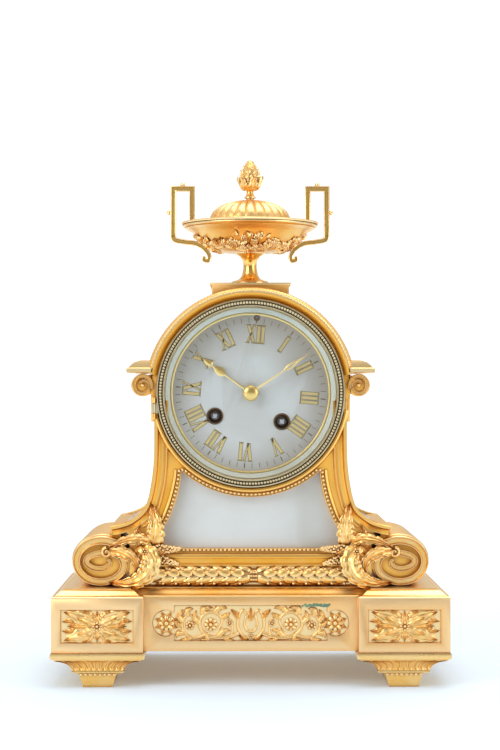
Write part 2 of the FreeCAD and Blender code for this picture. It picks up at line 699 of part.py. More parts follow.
def urn_socle():
    """The turned foot: a disc, a trumpet flare, a neck and a knop."""
    b = URN_BASE
    profile = [(ROD_HOLE, b), (13.2, b), (13.2, b + 1.6), (11.0, b + 2.4), (7.9, b + 5.2), (5.9, b + 8.2)]
    profile += [(5.0, b + 11.2), (4.4, b + 14.2), (4.4, b + 16.6), (6.0, b + 17.4), (7.5, b + 18.6)]
    profile += [(7.5, b + 20.0), (6.2, b + 21.0), (9.0, b + SOCLE_HEIGHT), (ROD_HOLE, b + SOCLE_HEIGHT)]
    return lathe(profile)


def bowl_outside(z):
    """The bowl's outer radius at a height above its base."""
    points = [(0.0, 20.0), (5.8, 31.0), (9.1, 34.4), (14.2, 38.4), (18.6, 44.4), (BOWL_HEIGHT, BOWL_RADIUS)]
    for (z0, r0), (z1, r1) in zip(points, points[1:]):
        if z <= z1:
            return r0 + (r1 - r0) * (z - z0) / (z1 - z0)
    return BOWL_RADIUS


def urn_bowl():
    b = BOWL_BASE
    levels = [0.0, 1.0, 3.0, 5.8, 9.1, 14.2, 18.6, BOWL_HEIGHT - 1.0]
    outside = [(bowl_outside(z) if z else 12.0, b + z) for z in levels]
    outside += [(BOWL_RADIUS, b + BOWL_HEIGHT - 0.9), (BOWL_RADIUS, b + BOWL_HEIGHT)]
    inside = [(bowl_outside(z) - BOWL_WALL * 1.3, b + z + BOWL_WALL) for z in levels[:0:-1] if z < 18]
    rim_inner = LID_RADIUS + 3.0
    rim = [(rim_inner, b + BOWL_HEIGHT), (rim_inner, b + BOWL_HEIGHT - 1.8), (40.0, b + BOWL_HEIGHT - 1.8)]
    floor = [(12.0, b + BOWL_WALL), (ROD_HOLE, b + BOWL_WALL), (ROD_HOLE, b)]
    return lathe(outside + rim + inside + floor)


def urn_lid():
    """A low dome with a lip that sits in the bowl's mouth."""
    b = BOWL_RIM
    points = 7
    dome = []
    for step in range(points + 1):
        angle = step / points * math.pi / 2
        share = 0.86 * math.sin(angle) + 0.14 * step / points
        dome.append((5.0 + (LID_RADIUS - 5.0) * math.cos(angle) ** 0.9, b + 1.4 + (LID_HEIGHT - 1.4) * share))
    inner = [(max(radius - 2.2, ROD_HOLE + 1.5), z - 2.2) for radius, z in reversed(dome[1:])]
    lip = LID_RADIUS + 3.0 - 0.2
    profile = [(lip, b - 3.0), (lip, b + 0.1), (LID_RADIUS + 4.2, b + 0.1), (LID_RADIUS + 4.2, b + 1.4)]
    profile += dome + [(ROD_HOLE, b + LID_HEIGHT), (ROD_HOLE, b + LID_HEIGHT - 2.2)]
    profile += inner + [(LID_RADIUS - 2.2, b - 3.0)]
    return lathe(profile)


def finial():
    """A cone on a leaf cup, on a short neck."""
    b = LID_TOP
    profile = [(0.0, ROD_TOP + 0.3), (ROD_HOLE, ROD_TOP + 0.3), (ROD_HOLE, b), (4.6, b), (4.6, b + 0.8)]
    profile += [(3.1, b + 1.4), (3.1, b + 3.4), (5.2, b + 4.6)]
    profile += [(8.2, b + 7.6), (8.8, b + 11.4), (8.0, b + 14.6)]
    profile += [(6.7, b + 16.2), (6.5, b + 19.4), (5.0, b + 23.0), (2.6, b + 25.8), (0.0, b + FINIAL_HEIGHT)]
    return lathe(profile)


def urn_handle():
    """A square-cornered bar handle that drops to a curled arm under the bowl."""
    half = HANDLE_BAR / 2
    outer_x = HANDLE_HALF_SPAN
    inner_x = 40.0
    top = BOWL_RIM + HANDLE_RISE
    corner_z = BOWL_RIM - 12.0
    arm = [(50.0, corner_z - 1.6), (40.5, corner_z - 3.4, 32.6, corner_z - 8.0), (28.4, corner_z - 12.6)]
    arm_back = [(30.6, corner_z - 15.2), (39.6, corner_z - 8.2, 50.0, corner_z - 5.6)]
    arm_back += [(outer_x, corner_z - 2.4)]
    bars = [
        box(inner_x - 2.1, inner_x + 1.7, -half, half, BOWL_RIM, top),
        box(inner_x - 2.1, outer_x, -half, half, top - HANDLE_BAR, top),
        box(outer_x - HANDLE_BAR, outer_x, -half, half, corner_z - 2.4, top),
        curved_prism([(outer_x - 0.4, corner_z - 0.4)] + arm + arm_back, -half, half),
        rod(28.6, corner_z - 12.2, 3.4, -half - 0.4, half + 0.4),
        Part.makeSphere(1.5, V(inner_x + 7.1, 0, top + 0.8)),
        Part.makeSphere(1.5, V(outer_x + 0.9, 0, BOWL_RIM + 7.0)),
    ]
    return fused(bars)


save("urn_block", urn_block())
save("urn_socle", urn_socle())
BOWL = urn_bowl()
save("urn_bowl", BOWL)
save("urn_lid", urn_lid())
save("finial", finial())
save("urn_handles", pair(urn_handle().cut(BOWL)))

# ---------------------------------------------------------------- bezel, door and dial
def bezel():
    """The hinged ring that holds the glass, with its knuckle."""
    outer = BEZEL_RADIUS
    sight = BEZEL_SIGHT_RADIUS
    rabbet = GLASS_RADIUS + SEAT / 2
    glass_back = GLASS_FRONT + GLASS_THICK
    back = BODY_FRONT - 0.4
    profile = [(outer, back), (outer, BEZEL_FRONT + 1.4), (outer - 1.0, BEZEL_FRONT)]
    profile += [(sight + 1.6, BEZEL_FRONT)]
    profile += [(sight, BEZEL_FRONT + 1.0), (sight, GLASS_FRONT), (rabbet, GLASS_FRONT), (rabbet, glass_back)]
    profile += [(SEAT_RADIUS + FREE, glass_back + 0.2), (SEAT_RADIUS + FREE, back)]
    body = lathe_y(profile, 0, DIAL_Z)
    low = HINGE_Z - KNUCKLE_HALF
    high = HINGE_Z + KNUCKLE_HALF
    web = box(HINGE_X, -SEAT_RADIUS - 1.0, HINGE_Y - KNUCKLE_RADIUS, HINGE_Y + KNUCKLE_RADIUS, low, high)
    knuckle = post(HINGE_X, HINGE_Y, KNUCKLE_RADIUS, low, high)
    return fused([body, web, knuckle]).cut(post(HINGE_X, HINGE_Y, PIN_RADIUS, low - 1, high + 1))


def glass():
    return rod(0, DIAL_Z, GLASS_RADIUS, GLASS_FRONT, GLASS_FRONT + GLASS_THICK)


def back_ring():
    """The ring in the back frame's mouth that the door closes in, with the door's hinge lugs."""
    flange = ring(0, DIAL_Z, REAR_MOUTH + 3.0, RING_MOUTH, BODY_BACK, BODY_BACK + 1.2)
    sleeve_radius = REAR_MOUTH - FREE
    sleeve = ring(0, DIAL_Z, sleeve_radius, sleeve_radius - 1.0, REAR_FRAME_FRONT - 2.0, BODY_BACK + 0.5)
    ears = lugs(DOOR_HINGE_X, DOOR_HINGE_Y, DIAL_Z, REAR_MOUTH, BODY_BACK + 0.5)
    return fused([flange, sleeve] + ears)


def back_door():
    """A round pierced door, with sound holes over the bell and a finger knob."""
    plate = rod(0, DIAL_Z, DOOR_RADIUS, DOOR_Y0, DOOR_Y0 + DOOR_THICK)
    slots = []
    for step in range(8):
        angle = step * math.pi / 4 + math.pi / 8
        x = 30.0 * math.cos(angle)
        z = DIAL_Z + 30.0 * math.sin(angle)
        slots.append(rod(x, z, 6.5, DOOR_Y0 - 1, DOOR_Y0 + DOOR_THICK + 1))
    low = DIAL_Z - KNUCKLE_HALF
    high = DIAL_Z + KNUCKLE_HALF
    web = box(46.0, DOOR_HINGE_X, DOOR_Y0 + 1.0, DOOR_HINGE_Y + KNUCKLE_RADIUS, low, high)
    knuckle = post(DOOR_HINGE_X, DOOR_HINGE_Y, KNUCKLE_RADIUS, low, high)
    knob = rod(-43.0, DIAL_Z, 2.6, DOOR_Y0 + 1.0, DOOR_Y0 + DOOR_THICK + 4.0)
    pin_hole = post(DOOR_HINGE_X, DOOR_HINGE_Y, PIN_RADIUS, low - 1, high + 1)
    return fused([drilled(plate, slots), web, knuckle, knob]).cut(pin_hole)


def bezel_seat():
    """The ring that the bezel closes on, the pan behind the dial, and the two straps to the back ring."""
    dial_back = DIAL_FRONT + DIAL_THICK
    rim = ring(0, 0, SEAT_RADIUS, DIAL_RADIUS + SEAT, BODY_FRONT + 1, PAN_BACK)
    pan = ring(0, 0, SEAT_RADIUS, PAN_MOUTH, dial_back, PAN_BACK)
    inner = STRAP_OUTER - STRAP_THICK
    straps = []
    for u0, u1 in ((inner, STRAP_OUTER), (-STRAP_OUTER, -inner)):
        straps.append(box(u0, u1, PAN_BACK - 0.5, REAR_FRAME_FRONT + 2, -STRAP_HALF_WIDTH, STRAP_HALF_WIDTH))
    hole = rod(0, RATE_ARBOR_RISE, RATE_ARBOR_RADIUS + RUNNING, DIAL_FRONT, PAN_BACK + 1)
    return fused([rim, pan] + straps).cut(hole)


def dial():
    back = DIAL_FRONT + DIAL_THICK
    plate = rod(0, 0, DIAL_RADIUS, DIAL_FRONT, back)
    holes = [rod(u, v, WINDING_HOLE_RADIUS, DIAL_FRONT - 1, back + 1) for u, v in WINDING_PLACES]
    holes.append(rod(0, 0, HOUR_PIPE_RADIUS + 1.0, DIAL_FRONT - 1, back + 1))
    holes.append(rod(0, RATE_ARBOR_RISE, RATE_ARBOR_RADIUS + 0.5, DIAL_FRONT - 1, back + 1))
    return drilled(plate, holes)


save("bezel_seat", in_case(bezel_seat()))
save("bezel", bezel())
save("glass", glass())
save("back_ring", back_ring())
save("back_door", back_door())
save("dial", in_case(dial()))
ring_front = DIAL_FRONT - 0.5
ring_mouth = DIAL_RING_RADIUS - DIAL_RING_WIDTH
save("dial_ring", ring(0, DIAL_Z, DIAL_RING_RADIUS, ring_mouth, ring_front, DIAL_FRONT))

# ---------------------------------------------------------------- toothed wheels


def toothed(teeth, module, place, y0, y1, phase=0.0):
    """A toothed disc. Tooth widths are shares of a pitch, and phase is the angle of one tooth's middle."""
    pitch_radius = teeth * module / 2
    pitch = 2 * math.pi / teeth
    root_half = (PINION_ROOT_HALF_TOOTH if teeth < 20 else ROOT_HALF_TOOTH) * pitch
    tip_half = TIP_HALF_TOOTH * pitch
    root = pitch_radius - DEDENDUM * module
    tip = pitch_radius + ADDENDUM * module
    u, v = place
    points = []
    for tooth in range(teeth):
        middle = phase + tooth * pitch
        for radius, angle in ((root, -root_half), (tip, -tip_half), (tip, tip_half), (root, root_half)):
            points.append((u + radius * math.cos(middle + angle), v + radius * math.sin(middle + angle)))
    return prism(points, y0, y1)


def meshing_phase(wheel_place, wheel_teeth, pinion_place, pinion_teeth):
    """The pinion's phase that puts a gap where the wheel, at phase 0, has a tooth."""
    toward = math.atan2(pinion_place[1] - wheel_place[1], pinion_place[0] - wheel_place[0])
    pitch = 2 * math.pi / wheel_teeth
    offset = -toward % pitch
    return toward + math.pi - offset * wheel_teeth / pinion_teeth + math.pi / pinion_teeth


def third_corner(first, first_distance, second, second_distance, side):
    """The place at given distances from two places, on the left (1) or right (-1) of the way between them."""
    du = second[0] - first[0]
    dv = second[1] - first[1]
    apart = math.hypot(du, dv)
    along = (first_distance**2 - second_distance**2 + apart**2) / (2 * apart)
    across = side * math.sqrt(first_distance**2 - along**2)
    return first[0] + (along * du - across * dv) / apart, first[1] + (along * dv + across * du) / apart


def polar(place, distance, degrees):
    angle = math.radians(degrees)
    return place[0] + distance * math.cos(angle), place[1] + distance * math.sin(angle)


def depth(gap):
    """Y at a distance behind the front plate's inner face."""
    return FRONT_PLATE_BACK + gap


def crossed_wheel(teeth, module, place, y0, y1, rim, hub, arms=4):
    """A toothed wheel with its middle cut away between straight arms."""
    u, v = place
    disc = toothed(teeth, module, place, y0, y1)
    inner = teeth * module / 2 - DEDENDUM * module - rim
    window = ring(u, v, inner, hub, y0 - 1, y1 + 1)
    spokes = []
    for arm in range(arms):
        spoke = box(hub - 0.5, inner + 0.3, y0, y1, -0.9, 0.9)
        spoke.rotate(V(0, 0, 0), V(0, 1, 0), 360.0 * arm / arms + 20.0)
        spoke.translate(V(u, 0, v))
        spokes.append(spoke)
    return fused([disc.cut(window)] + spokes)


def arbor(place, radius, pivot, front=None, back=None):
    """A shaft between the plates, on a thinner pivot at each end."""
    u, v = place
    front = FRONT_PLATE_FRONT + 0.2 if front is None else front
    back = BACK_PLATE_BACK - 0.2 if back is None else back
    shaft = rod(u, v, radius, FRONT_PLATE_BACK + FREE, BACK_PLATE_FRONT - FREE)
    return fused([shaft, rod(u, v, pivot, front, back)])


# great wheels and the going train
GOING_BARREL, STRIKE_BARREL = WINDING_PLACES
CENTRE = (0.0, 0.0)
GREAT_REACH = GREAT_MODULE * (GREAT_TEETH + SECOND_PINION) / 2
GOING_SECOND = third_corner(
    GOING_BARREL, GREAT_REACH, CENTRE, GOING_SECOND_MODULE * (GOING_SECOND_TEETH + CENTRE_PINION) / 2, 1
)
ESCAPE = (0.0, ESCAPE_V)
THIRD = third_corner(
    CENTRE, CENTRE_MODULE * (CENTRE_TEETH + THIRD_PINION) / 2,
    ESCAPE, THIRD_MODULE * (THIRD_TEETH + ESCAPE_PINION) / 2, -1,
)
ANCHOR = (0.0, ANCHOR_V)

# strike train
STRIKE_SECOND = polar(STRIKE_BARREL, GREAT_REACH, 85.0)
PIN = polar(STRIKE_SECOND, STRIKE_SECOND_MODULE * (STRIKE_SECOND_TEETH + PIN_PINION) / 2, 60.0)
FLY = polar(PIN, PIN_MODULE * (PIN_TEETH + FLY_PINION) / 2, 120.0)

# motion work
MINUTE = (0.0, MINUTE_MODULE * (CANNON_TEETH + MINUTE_TEETH) / 2)


def click_frame(side, out, along):
    """A place near a ratchet: out from its centre and along its rim, on the right (1) or left (-1) train."""
    angle = math.radians(CLICK_DIRECTION)
    u = out * math.cos(angle) - along * math.sin(angle)
    v = out * math.sin(angle) + along * math.cos(angle)
    return side * (WINDING_HALF_SPACING + u), v - WINDING_DROP


def plate_holes(y0, y1, pivots):
    places = [(polar(CENTRE, PILLAR_CIRCLE, angle), PILLAR_RADIUS * 0.6 + RUNNING) for angle in PILLAR_ANGLES]
    return [rod(u, v, radius, y0 - 1, y1 + 1) for (u, v), radius in places + pivots]


def shared_pivots():
    slim = PIVOT_RADIUS + RUNNING
    winding = [(place, WINDING_PIVOT_RADIUS + RUNNING) for place in WINDING_PLACES]
    return winding + [(place, slim) for place in (GOING_SECOND, THIRD, ESCAPE, PIN, FLY)]


def front_plate():
    """The front plate, with studs for the minute wheel and the clicks."""
    y0, y1 = FRONT_PLATE_FRONT, FRONT_PLATE_BACK
    pivots = shared_pivots() + [(CENTRE, CENTRE_ARBOR_RADIUS + RUNNING)]
    pivots += [(place, PIVOT_RADIUS + RUNNING) for place in (ANCHOR, STRIKE_SECOND)]
    plate = drilled(rod(0, 0, PLATE_RADIUS, y0, y1), plate_holes(y0, y1, pivots))
    studs = [rod(*MINUTE, MINUTE_STUD_RADIUS, y0 - 6.4, y0 + 0.5)]
    for side in (1, -1):
        place = click_frame(side, CLICK_PIVOT_OUT, CLICK_PIVOT_ALONG)
        studs.append(rod(*place, STUD_PIN_RADIUS, y0 - 2.8, y0 + 0.5))
    return fused([plate] + studs)


def back_plate():
    """The back plate, with the hammer's stud."""
    y0, y1 = BACK_PLATE_FRONT, BACK_PLATE_BACK
    pivots = shared_pivots() + [(CENTRE, PIVOT_RADIUS + RUNNING)]
    pivots += [(ANCHOR, ARBOR_RADIUS + RUNNING), (STRIKE_SECOND, COUNT_PIVOT_RADIUS + RUNNING)]
    plate = drilled(rod(0, 0, PLATE_RADIUS, y0, y1), plate_holes(y0, y1, pivots))
    return fused([plate, rod(*HAMMER_PIVOT, HAMMER_STUD_RADIUS, y1 - 0.5, y1 + 12.6)])


def pillars():
    """Pillars between the plates, and feet from the front plate to the pan."""
    solids = []
    for angle in PILLAR_ANGLES:
        u, v = polar(CENTRE, PILLAR_CIRCLE, angle)
        shank = rod(u, v, PILLAR_RADIUS * 0.6, FRONT_PLATE_FRONT - 1.0, BACK_PLATE_BACK + 1.0)
        solids.append(fused([shank, rod(u, v, PILLAR_RADIUS, FRONT_PLATE_BACK, BACK_PLATE_FRONT)]))
    for angle in DIAL_FOOT_ANGLES:
        u, v = polar(CENTRE, DIAL_FOOT_CIRCLE, angle)
        solids.append(rod(u, v, DIAL_FOOT_RADIUS, PAN_BACK, FRONT_PLATE_FRONT))
    return solids


def barrel(place):
    """A spring barrel: the drum with its great wheel, and its cap."""
    u, v = place
    bore = WINDING_ARBOR_RADIUS + RUNNING
    great = toothed(GREAT_TEETH, GREAT_MODULE, place, depth(DRUM_BACK), depth(GREAT_BACK))
    drum = ring(u, v, DRUM_RADIUS, DRUM_RADIUS - DRUM_WALL, depth(DRUM_FRONT), depth(DRUM_BACK))
    hole = rod(u, v, bore, depth(0), depth(30))
    cap = ring(u, v, DRUM_RADIUS, bore, depth(CAP_FRONT), depth(DRUM_FRONT))
    return [fused([great, drum]).cut(hole), cap]


def mainspring(place, side):
    """A coiled strip from the arbor to the drum's wall."""
    turns = 9
    steps = 20 * turns
    strip = 0.5
    start = WINDING_ARBOR_RADIUS + FREE
    end = DRUM_RADIUS - DRUM_WALL - SEAT - strip
    inner, outer = [], []
    for step in range(steps + 1):
        angle = 2 * math.pi * turns * step / steps
        radius = start + (end - start) * step / steps
        du, dv = side * math.cos(angle), math.sin(angle)
        inner.append((place[0] + radius * du, place[1] + radius * dv))
        outer.append((place[0] + (radius + strip) * du, place[1] + (radius + strip) * dv))
    return prism(inner + outer[::-1], depth(DRUM_FRONT + 1.5), depth(DRUM_BACK - 1.5))


def winding_arbor(place, side):
    """A barrel's arbor, with the square that takes the key and the ratchet wheel."""
    u, v = place
    shaft = arbor(place, WINDING_ARBOR_RADIUS, WINDING_PIVOT_RADIUS, FRONT_PLATE_FRONT - 3.2)
    half = WINDING_SQUARE / 2
    square = box(u - half, u + half, DIAL_FRONT + 2.0, FRONT_PLATE_FRONT - 3.0, v - half, v + half)
    gap_at = CLICK_DIRECTION if side > 0 else 180.0 - CLICK_DIRECTION
    phase = math.radians(gap_at + 180.0 / RATCHET_TEETH)
    ratchet = toothed(RATCHET_TEETH, RATCHET_MODULE, place, RATCHET_FRONT, RATCHET_BACK, phase)
    return fused([shaft, square, ratchet])


def click(side):
    """A pawl on its stud, with its beak in a gap of the ratchet."""
    shape = [(9.4, 7.5), (9.2, -0.4), (6.9, -0.5), (5.75, -0.25)]
    shape += [(5.75, 0.25), (6.9, 0.6), (7.3, 1.4), (7.0, 7.5)]
    arm = prism([click_frame(side, out, along) for out, along in shape], RATCHET_FRONT, RATCHET_BACK)
    u, v = click_frame(side, CLICK_PIVOT_OUT, CLICK_PIVOT_ALONG)
    hub = rod(u, v, 1.9, RATCHET_FRONT, RATCHET_BACK)
    return fused([arm, hub]).cut(rod(u, v, STUD_PIN_RADIUS + RUNNING, RATCHET_FRONT - 1, RATCHET_BACK + 1))


def pinion(teeth, module, wheel_place, wheel_teeth, place, gap0, gap1):
    phase = meshing_phase(wheel_place, wheel_teeth, place, teeth)
    return toothed(teeth, module, place, depth(gap0), depth(gap1), phase)


def going_second_wheel():
    teeth, module = GOING_SECOND_TEETH, GOING_SECOND_MODULE
    wheel = crossed_wheel(teeth, module, GOING_SECOND, depth(28.7), depth(30.0), 1.6, 3.4)
    leaves = pinion(SECOND_PINION, GREAT_MODULE, GOING_BARREL, GREAT_TEETH, GOING_SECOND, 23.5, 28.7)
    return fused([arbor(GOING_SECOND, ARBOR_RADIUS, PIVOT_RADIUS), wheel, leaves])


def centre_wheel():
    wheel = crossed_wheel(CENTRE_TEETH, CENTRE_MODULE, CENTRE, depth(1.0), depth(2.2), 1.6, 3.2)
    leaves = pinion(CENTRE_PINION, GOING_SECOND_MODULE, GOING_SECOND, GOING_SECOND_TEETH, CENTRE, 28.2, 30.5)
    shaft = arbor(CENTRE, CENTRE_ARBOR_RADIUS, PIVOT_RADIUS)
    long_pivot = rod(0, 0, CENTRE_ARBOR_RADIUS, DIAL_FRONT - 7.0, FRONT_PLATE_BACK + 1)
    return fused([shaft, long_pivot, wheel, leaves])


def third_wheel():
    wheel = crossed_wheel(THIRD_TEETH, THIRD_MODULE, THIRD, depth(10.0), depth(11.2), 1.4, 3.0)
    leaves = pinion(THIRD_PINION, CENTRE_MODULE, CENTRE, CENTRE_TEETH, THIRD, 0.6, 3.0)
    return fused([arbor(THIRD, ARBOR_RADIUS, PIVOT_RADIUS), wheel, leaves])


def escape_wheel():
    """Forty pointed teeth on a crossed rim."""
    u, v = ESCAPE
    y0, y1 = depth(32.3), depth(33.5)
    pitch = 2 * math.pi / ESCAPE_TEETH
    points = []
    for tooth in range(ESCAPE_TEETH):
        for radius, share in ((ESCAPE_RADIUS - 1.1, 0.0), (ESCAPE_RADIUS, 0.62), (ESCAPE_RADIUS, 0.74)):
            angle = (tooth + share) * pitch
            points.append((u + radius * math.cos(angle), v + radius * math.sin(angle)))
    rim = prism(points, y0, y1).cut(ring(u, v, 5.6, 2.0, y0 - 1, y1 + 1))
    arms = [
        box(u - 5.8, u + 5.8, y0, y1, v - 0.45, v + 0.45),
        box(u - 0.45, u + 0.45, y0, y1, v - 5.8, v + 5.8),
    ]
    leaves = pinion(ESCAPE_PINION, THIRD_MODULE, THIRD, THIRD_TEETH, ESCAPE, 9.5, 12.0)
    return fused([arbor(ESCAPE, SLIM_ARBOR_RADIUS, PIVOT_RADIUS), rim, leaves] + arms)


PIVOT_X, PIVOT_Z = case_point(*ANCHOR)


def escape_anchor():
    """The anchor with its two pallets, its arbor, and the crutch that hangs to the pendulum rod."""
    y0, y1 = depth(31.9), depth(33.9)
    solids = [rod(*ANCHOR, 1.9, y0, y1)]
    for side in (-1, 1):
        u, v = polar(ESCAPE, PALLET_RADIUS, 90 - side * 40)
        arm = [(side * 1.2, ANCHOR_V + 1.6), (u + side * 0.9, v + 2.2), (u + side * 0.9, v), (u, v)]
        arm += [(u - side * 0.2, v + 1.2), (side * 0.4, ANCHOR_V - 1.6)]
        solids.append(prism(arm, y0, y1))
    shaft = rod(*ANCHOR, ARBOR_RADIUS, FRONT_PLATE_BACK + FREE, BACK_PLATE_BACK + 3.2)
    pivot = rod(*ANCHOR, PIVOT_RADIUS, FRONT_PLATE_FRONT + 0.2, FRONT_PLATE_BACK + 1)
    body = in_case(fused(solids + [shaft, pivot]))[0]
    y2 = BACK_PLATE_BACK + 1.6
    y3 = y2 + 1.5
    foot_z = PIVOT_Z - CRUTCH_LENGTH
    fork = ROD_RADIUS + FREE
    arm = box(PIVOT_X - 1.0, PIVOT_X + 1.0, y2, y3, foot_z, PIVOT_Z)
    bar = box(PIVOT_X - fork - 1.0, PIVOT_X + fork + 1.0, y2, y3, foot_z, foot_z + 3.0)
    prongs = []
    for x0 in (PIVOT_X + fork, PIVOT_X - fork - 1.0):
        prongs.append(box(x0, x0 + 1.0, y2, PENDULUM_Y + 2.4, foot_z, foot_z + 3.0))
    return fused([body, arm, bar, rod(PIVOT_X, PIVOT_Z, 1.8, y2, y3)] + prongs)


def suspension_cock():
    """The cock on the back plate that holds the suspension spring and the rate arbor's end."""
    y0 = BACK_PLATE_BACK
    arm = box(-3.0, 3.0, y0, PENDULUM_Y + 2.5, ANCHOR_V + 3.2, ANCHOR_V + 8.0)
    upright = box(-3.0, 3.0, PENDULUM_Y - 2.5, PENDULUM_Y + 2.5, ANCHOR_V + 3.2, RATE_ARBOR_RISE + 2.6)
    foot_bar = box(-8.0, 8.0, y0, y0 + 1.8, ANCHOR_V + 3.6, ANCHOR_V + 8.6)
    hole = rod(0, RATE_ARBOR_RISE, RATE_ARBOR_RADIUS + RUNNING, y0, PENDULUM_Y + 5)
    body = in_case(fused([arm, upright, foot_bar]).cut(hole))[0]
    strip_z = (PIVOT_Z - 0.2, PIVOT_Z + 4.5)
    strip = box(PIVOT_X - 0.15, PIVOT_X + 0.15, PENDULUM_Y - 2.0, PENDULUM_Y + 2.0, *strip_z)
    return fused([body, strip])


def pendulum_rod():
    """A rod that hangs from its top block, with the rating nut at its foot."""
    top = PIVOT_Z - 0.6
    low = PIVOT_Z - PENDULUM_LENGTH - BOB_RADIUS - 5.0
    block = box(PIVOT_X - 1.4, PIVOT_X + 1.4, PENDULUM_Y - 2.2, PENDULUM_Y + 2.2, top - 6.0, top)
    nut = post(PIVOT_X, PENDULUM_Y, 2.4, low + 1.6, low + 4.4)
    return fused([block, post(PIVOT_X, PENDULUM_Y, ROD_RADIUS, low, top), nut])


def pendulum_bob():
    """A lens-shaped disc with a hole for the rod."""
    half = BOB_THICK / 2
    edge = 1.2
    points = 6
    front, back = [], []
    for step in range(points + 1):
        radius = BOB_RADIUS * step / points
        bulge = edge + (half - edge) * (1 - (step / points) ** 2)
        front.append((radius, PENDULUM_Y - bulge))
        back.append((radius, PENDULUM_Y + bulge))
    centre_z = PIVOT_Z - PENDULUM_LENGTH
    lens = lathe_y(front + back[::-1], PIVOT_X, centre_z)
    hole = post(PIVOT_X, PENDULUM_Y, ROD_RADIUS + 0.02, centre_z - BOB_RADIUS - 2, centre_z + BOB_RADIUS + 2)
    return lens.cut(hole)


def strike_second_wheel():
    wheel = crossed_wheel(
        STRIKE_SECOND_TEETH, STRIKE_SECOND_MODULE, STRIKE_SECOND, depth(31.3), depth(32.5), 1.5, 3.2
    )
    leaves = pinion(SECOND_PINION, GREAT_MODULE, STRIKE_BARREL, GREAT_TEETH, STRIKE_SECOND, 23.5, 28.0)
    shaft = arbor(STRIKE_SECOND, ARBOR_RADIUS, PIVOT_RADIUS, back=BACK_PLATE_FRONT)
    tail = rod(*STRIKE_SECOND, COUNT_PIVOT_RADIUS, depth(34.0), BACK_PLATE_BACK + 3.6)
    return fused([shaft, tail, wheel, leaves])


def count_wheel():
    """The disc whose notches, at growing spaces, count the hours."""
    u, v = STRIKE_SECOND
    y0 = BACK_PLATE_BACK + 1.0
    y1 = y0 + 2.0
    disc = ring(u, v, 13.5, COUNT_PIVOT_RADIUS + 0.02, y0, y1)
    notches = []
    strokes = 0
    for hour in range(1, 13):
        strokes += hour + 1
        notch = box(11.6, 15.0, y0 - 1, y1 + 1, -0.6, 0.6)
        notch.rotate(V(0, 0, 0), V(0, 1, 0), 360.0 * strokes / 90)
        notch.translate(V(u, 0, v))
        notches.append(notch)
    return drilled(disc, notches)


def pin_wheel():
    u, v = PIN
    wheel = crossed_wheel(PIN_TEETH, PIN_MODULE, PIN, depth(20.0), depth(21.2), 1.9, 2.6)
    leaves = pinion(PIN_PINION, STRIKE_SECOND_MODULE, STRIKE_SECOND, STRIKE_SECOND_TEETH, PIN, 30.8, 33.0)
    pins = []
    for step in range(PINS):
        pins.append(rod(*polar(PIN, PIN_CIRCLE, 360.0 * step / PINS), 0.4, depth(16.0), depth(20.5)))
    return fused([arbor(PIN, ARBOR_RADIUS, PIVOT_RADIUS), wheel, leaves] + pins)


def fly():
    """The fan that keeps the striking slow."""
    u, v = FLY
    leaves = pinion(FLY_PINION, PIN_MODULE, PIN, PIN_TEETH, FLY, 19.0, 22.5)
    vane = box(u - 7.0, u + 7.0, depth(4.0), depth(14.0), v - 0.3, v + 0.3)
    hub = rod(u, v, 1.5, depth(3.6), depth(14.4))
    return fused([arbor(FLY, SLIM_ARBOR_RADIUS, PIVOT_RADIUS), leaves, vane, hub])


def hammer():
    """The bell hammer on its stud: boss, arm and head."""
    y0 = BACK_PLATE_BACK + 2.0
    du, dv = HAMMER_HEAD[0] - HAMMER_PIVOT[0], HAMMER_HEAD[1] - HAMMER_PIVOT[1]
    length = math.hypot(du, dv)
    side_u, side_v = -dv / length, du / length
    (pivot_u, pivot_v), (head_u, head_v) = HAMMER_PIVOT, HAMMER_HEAD
    arm = [(pivot_u + side_u, pivot_v + side_v), (head_u + side_u, head_v + side_v)]
    arm += [(head_u - side_u, head_v - side_v), (pivot_u - side_u, pivot_v - side_v)]
    arm_y = y0 + 7.0
    boss = rod(*HAMMER_PIVOT, 2.6, y0, y0 + 10.0)
    head = rod(*HAMMER_HEAD, 2.5, arm_y, arm_y + 11.0)
    bore = rod(*HAMMER_PIVOT, HAMMER_STUD_RADIUS + RUNNING, y0 - 1, y0 + 11.0)
    return fused([boss, prism(arm, arm_y, arm_y + 2.0), head]).cut(bore)


def bell():
    """A deep cup of even wall, open to the front."""
    outer, inner = [], []
    points = 9
    for step in range(points + 1):
        angle = step / points * math.pi / 2
        outer.append((BELL_RADIUS * math.cos(angle), BELL_FRONT + BELL_DEPTH * math.sin(angle)))
        inner_depth = (BELL_DEPTH - BELL_WALL) * math.sin(angle)
        inner.append(((BELL_RADIUS - BELL_WALL) * math.cos(angle), BELL_FRONT + inner_depth))
    cup = lathe_y(outer[:-1] + [(0.0, outer[-1][1]), (0.0, inner[-1][1])] + inner[-2::-1], *BELL_CENTRE)
    return cup.cut(rod(*BELL_CENTRE, BELL_STUD_RADIUS + SEAT, BELL_FRONT, BELL_FRONT + BELL_DEPTH + 2))


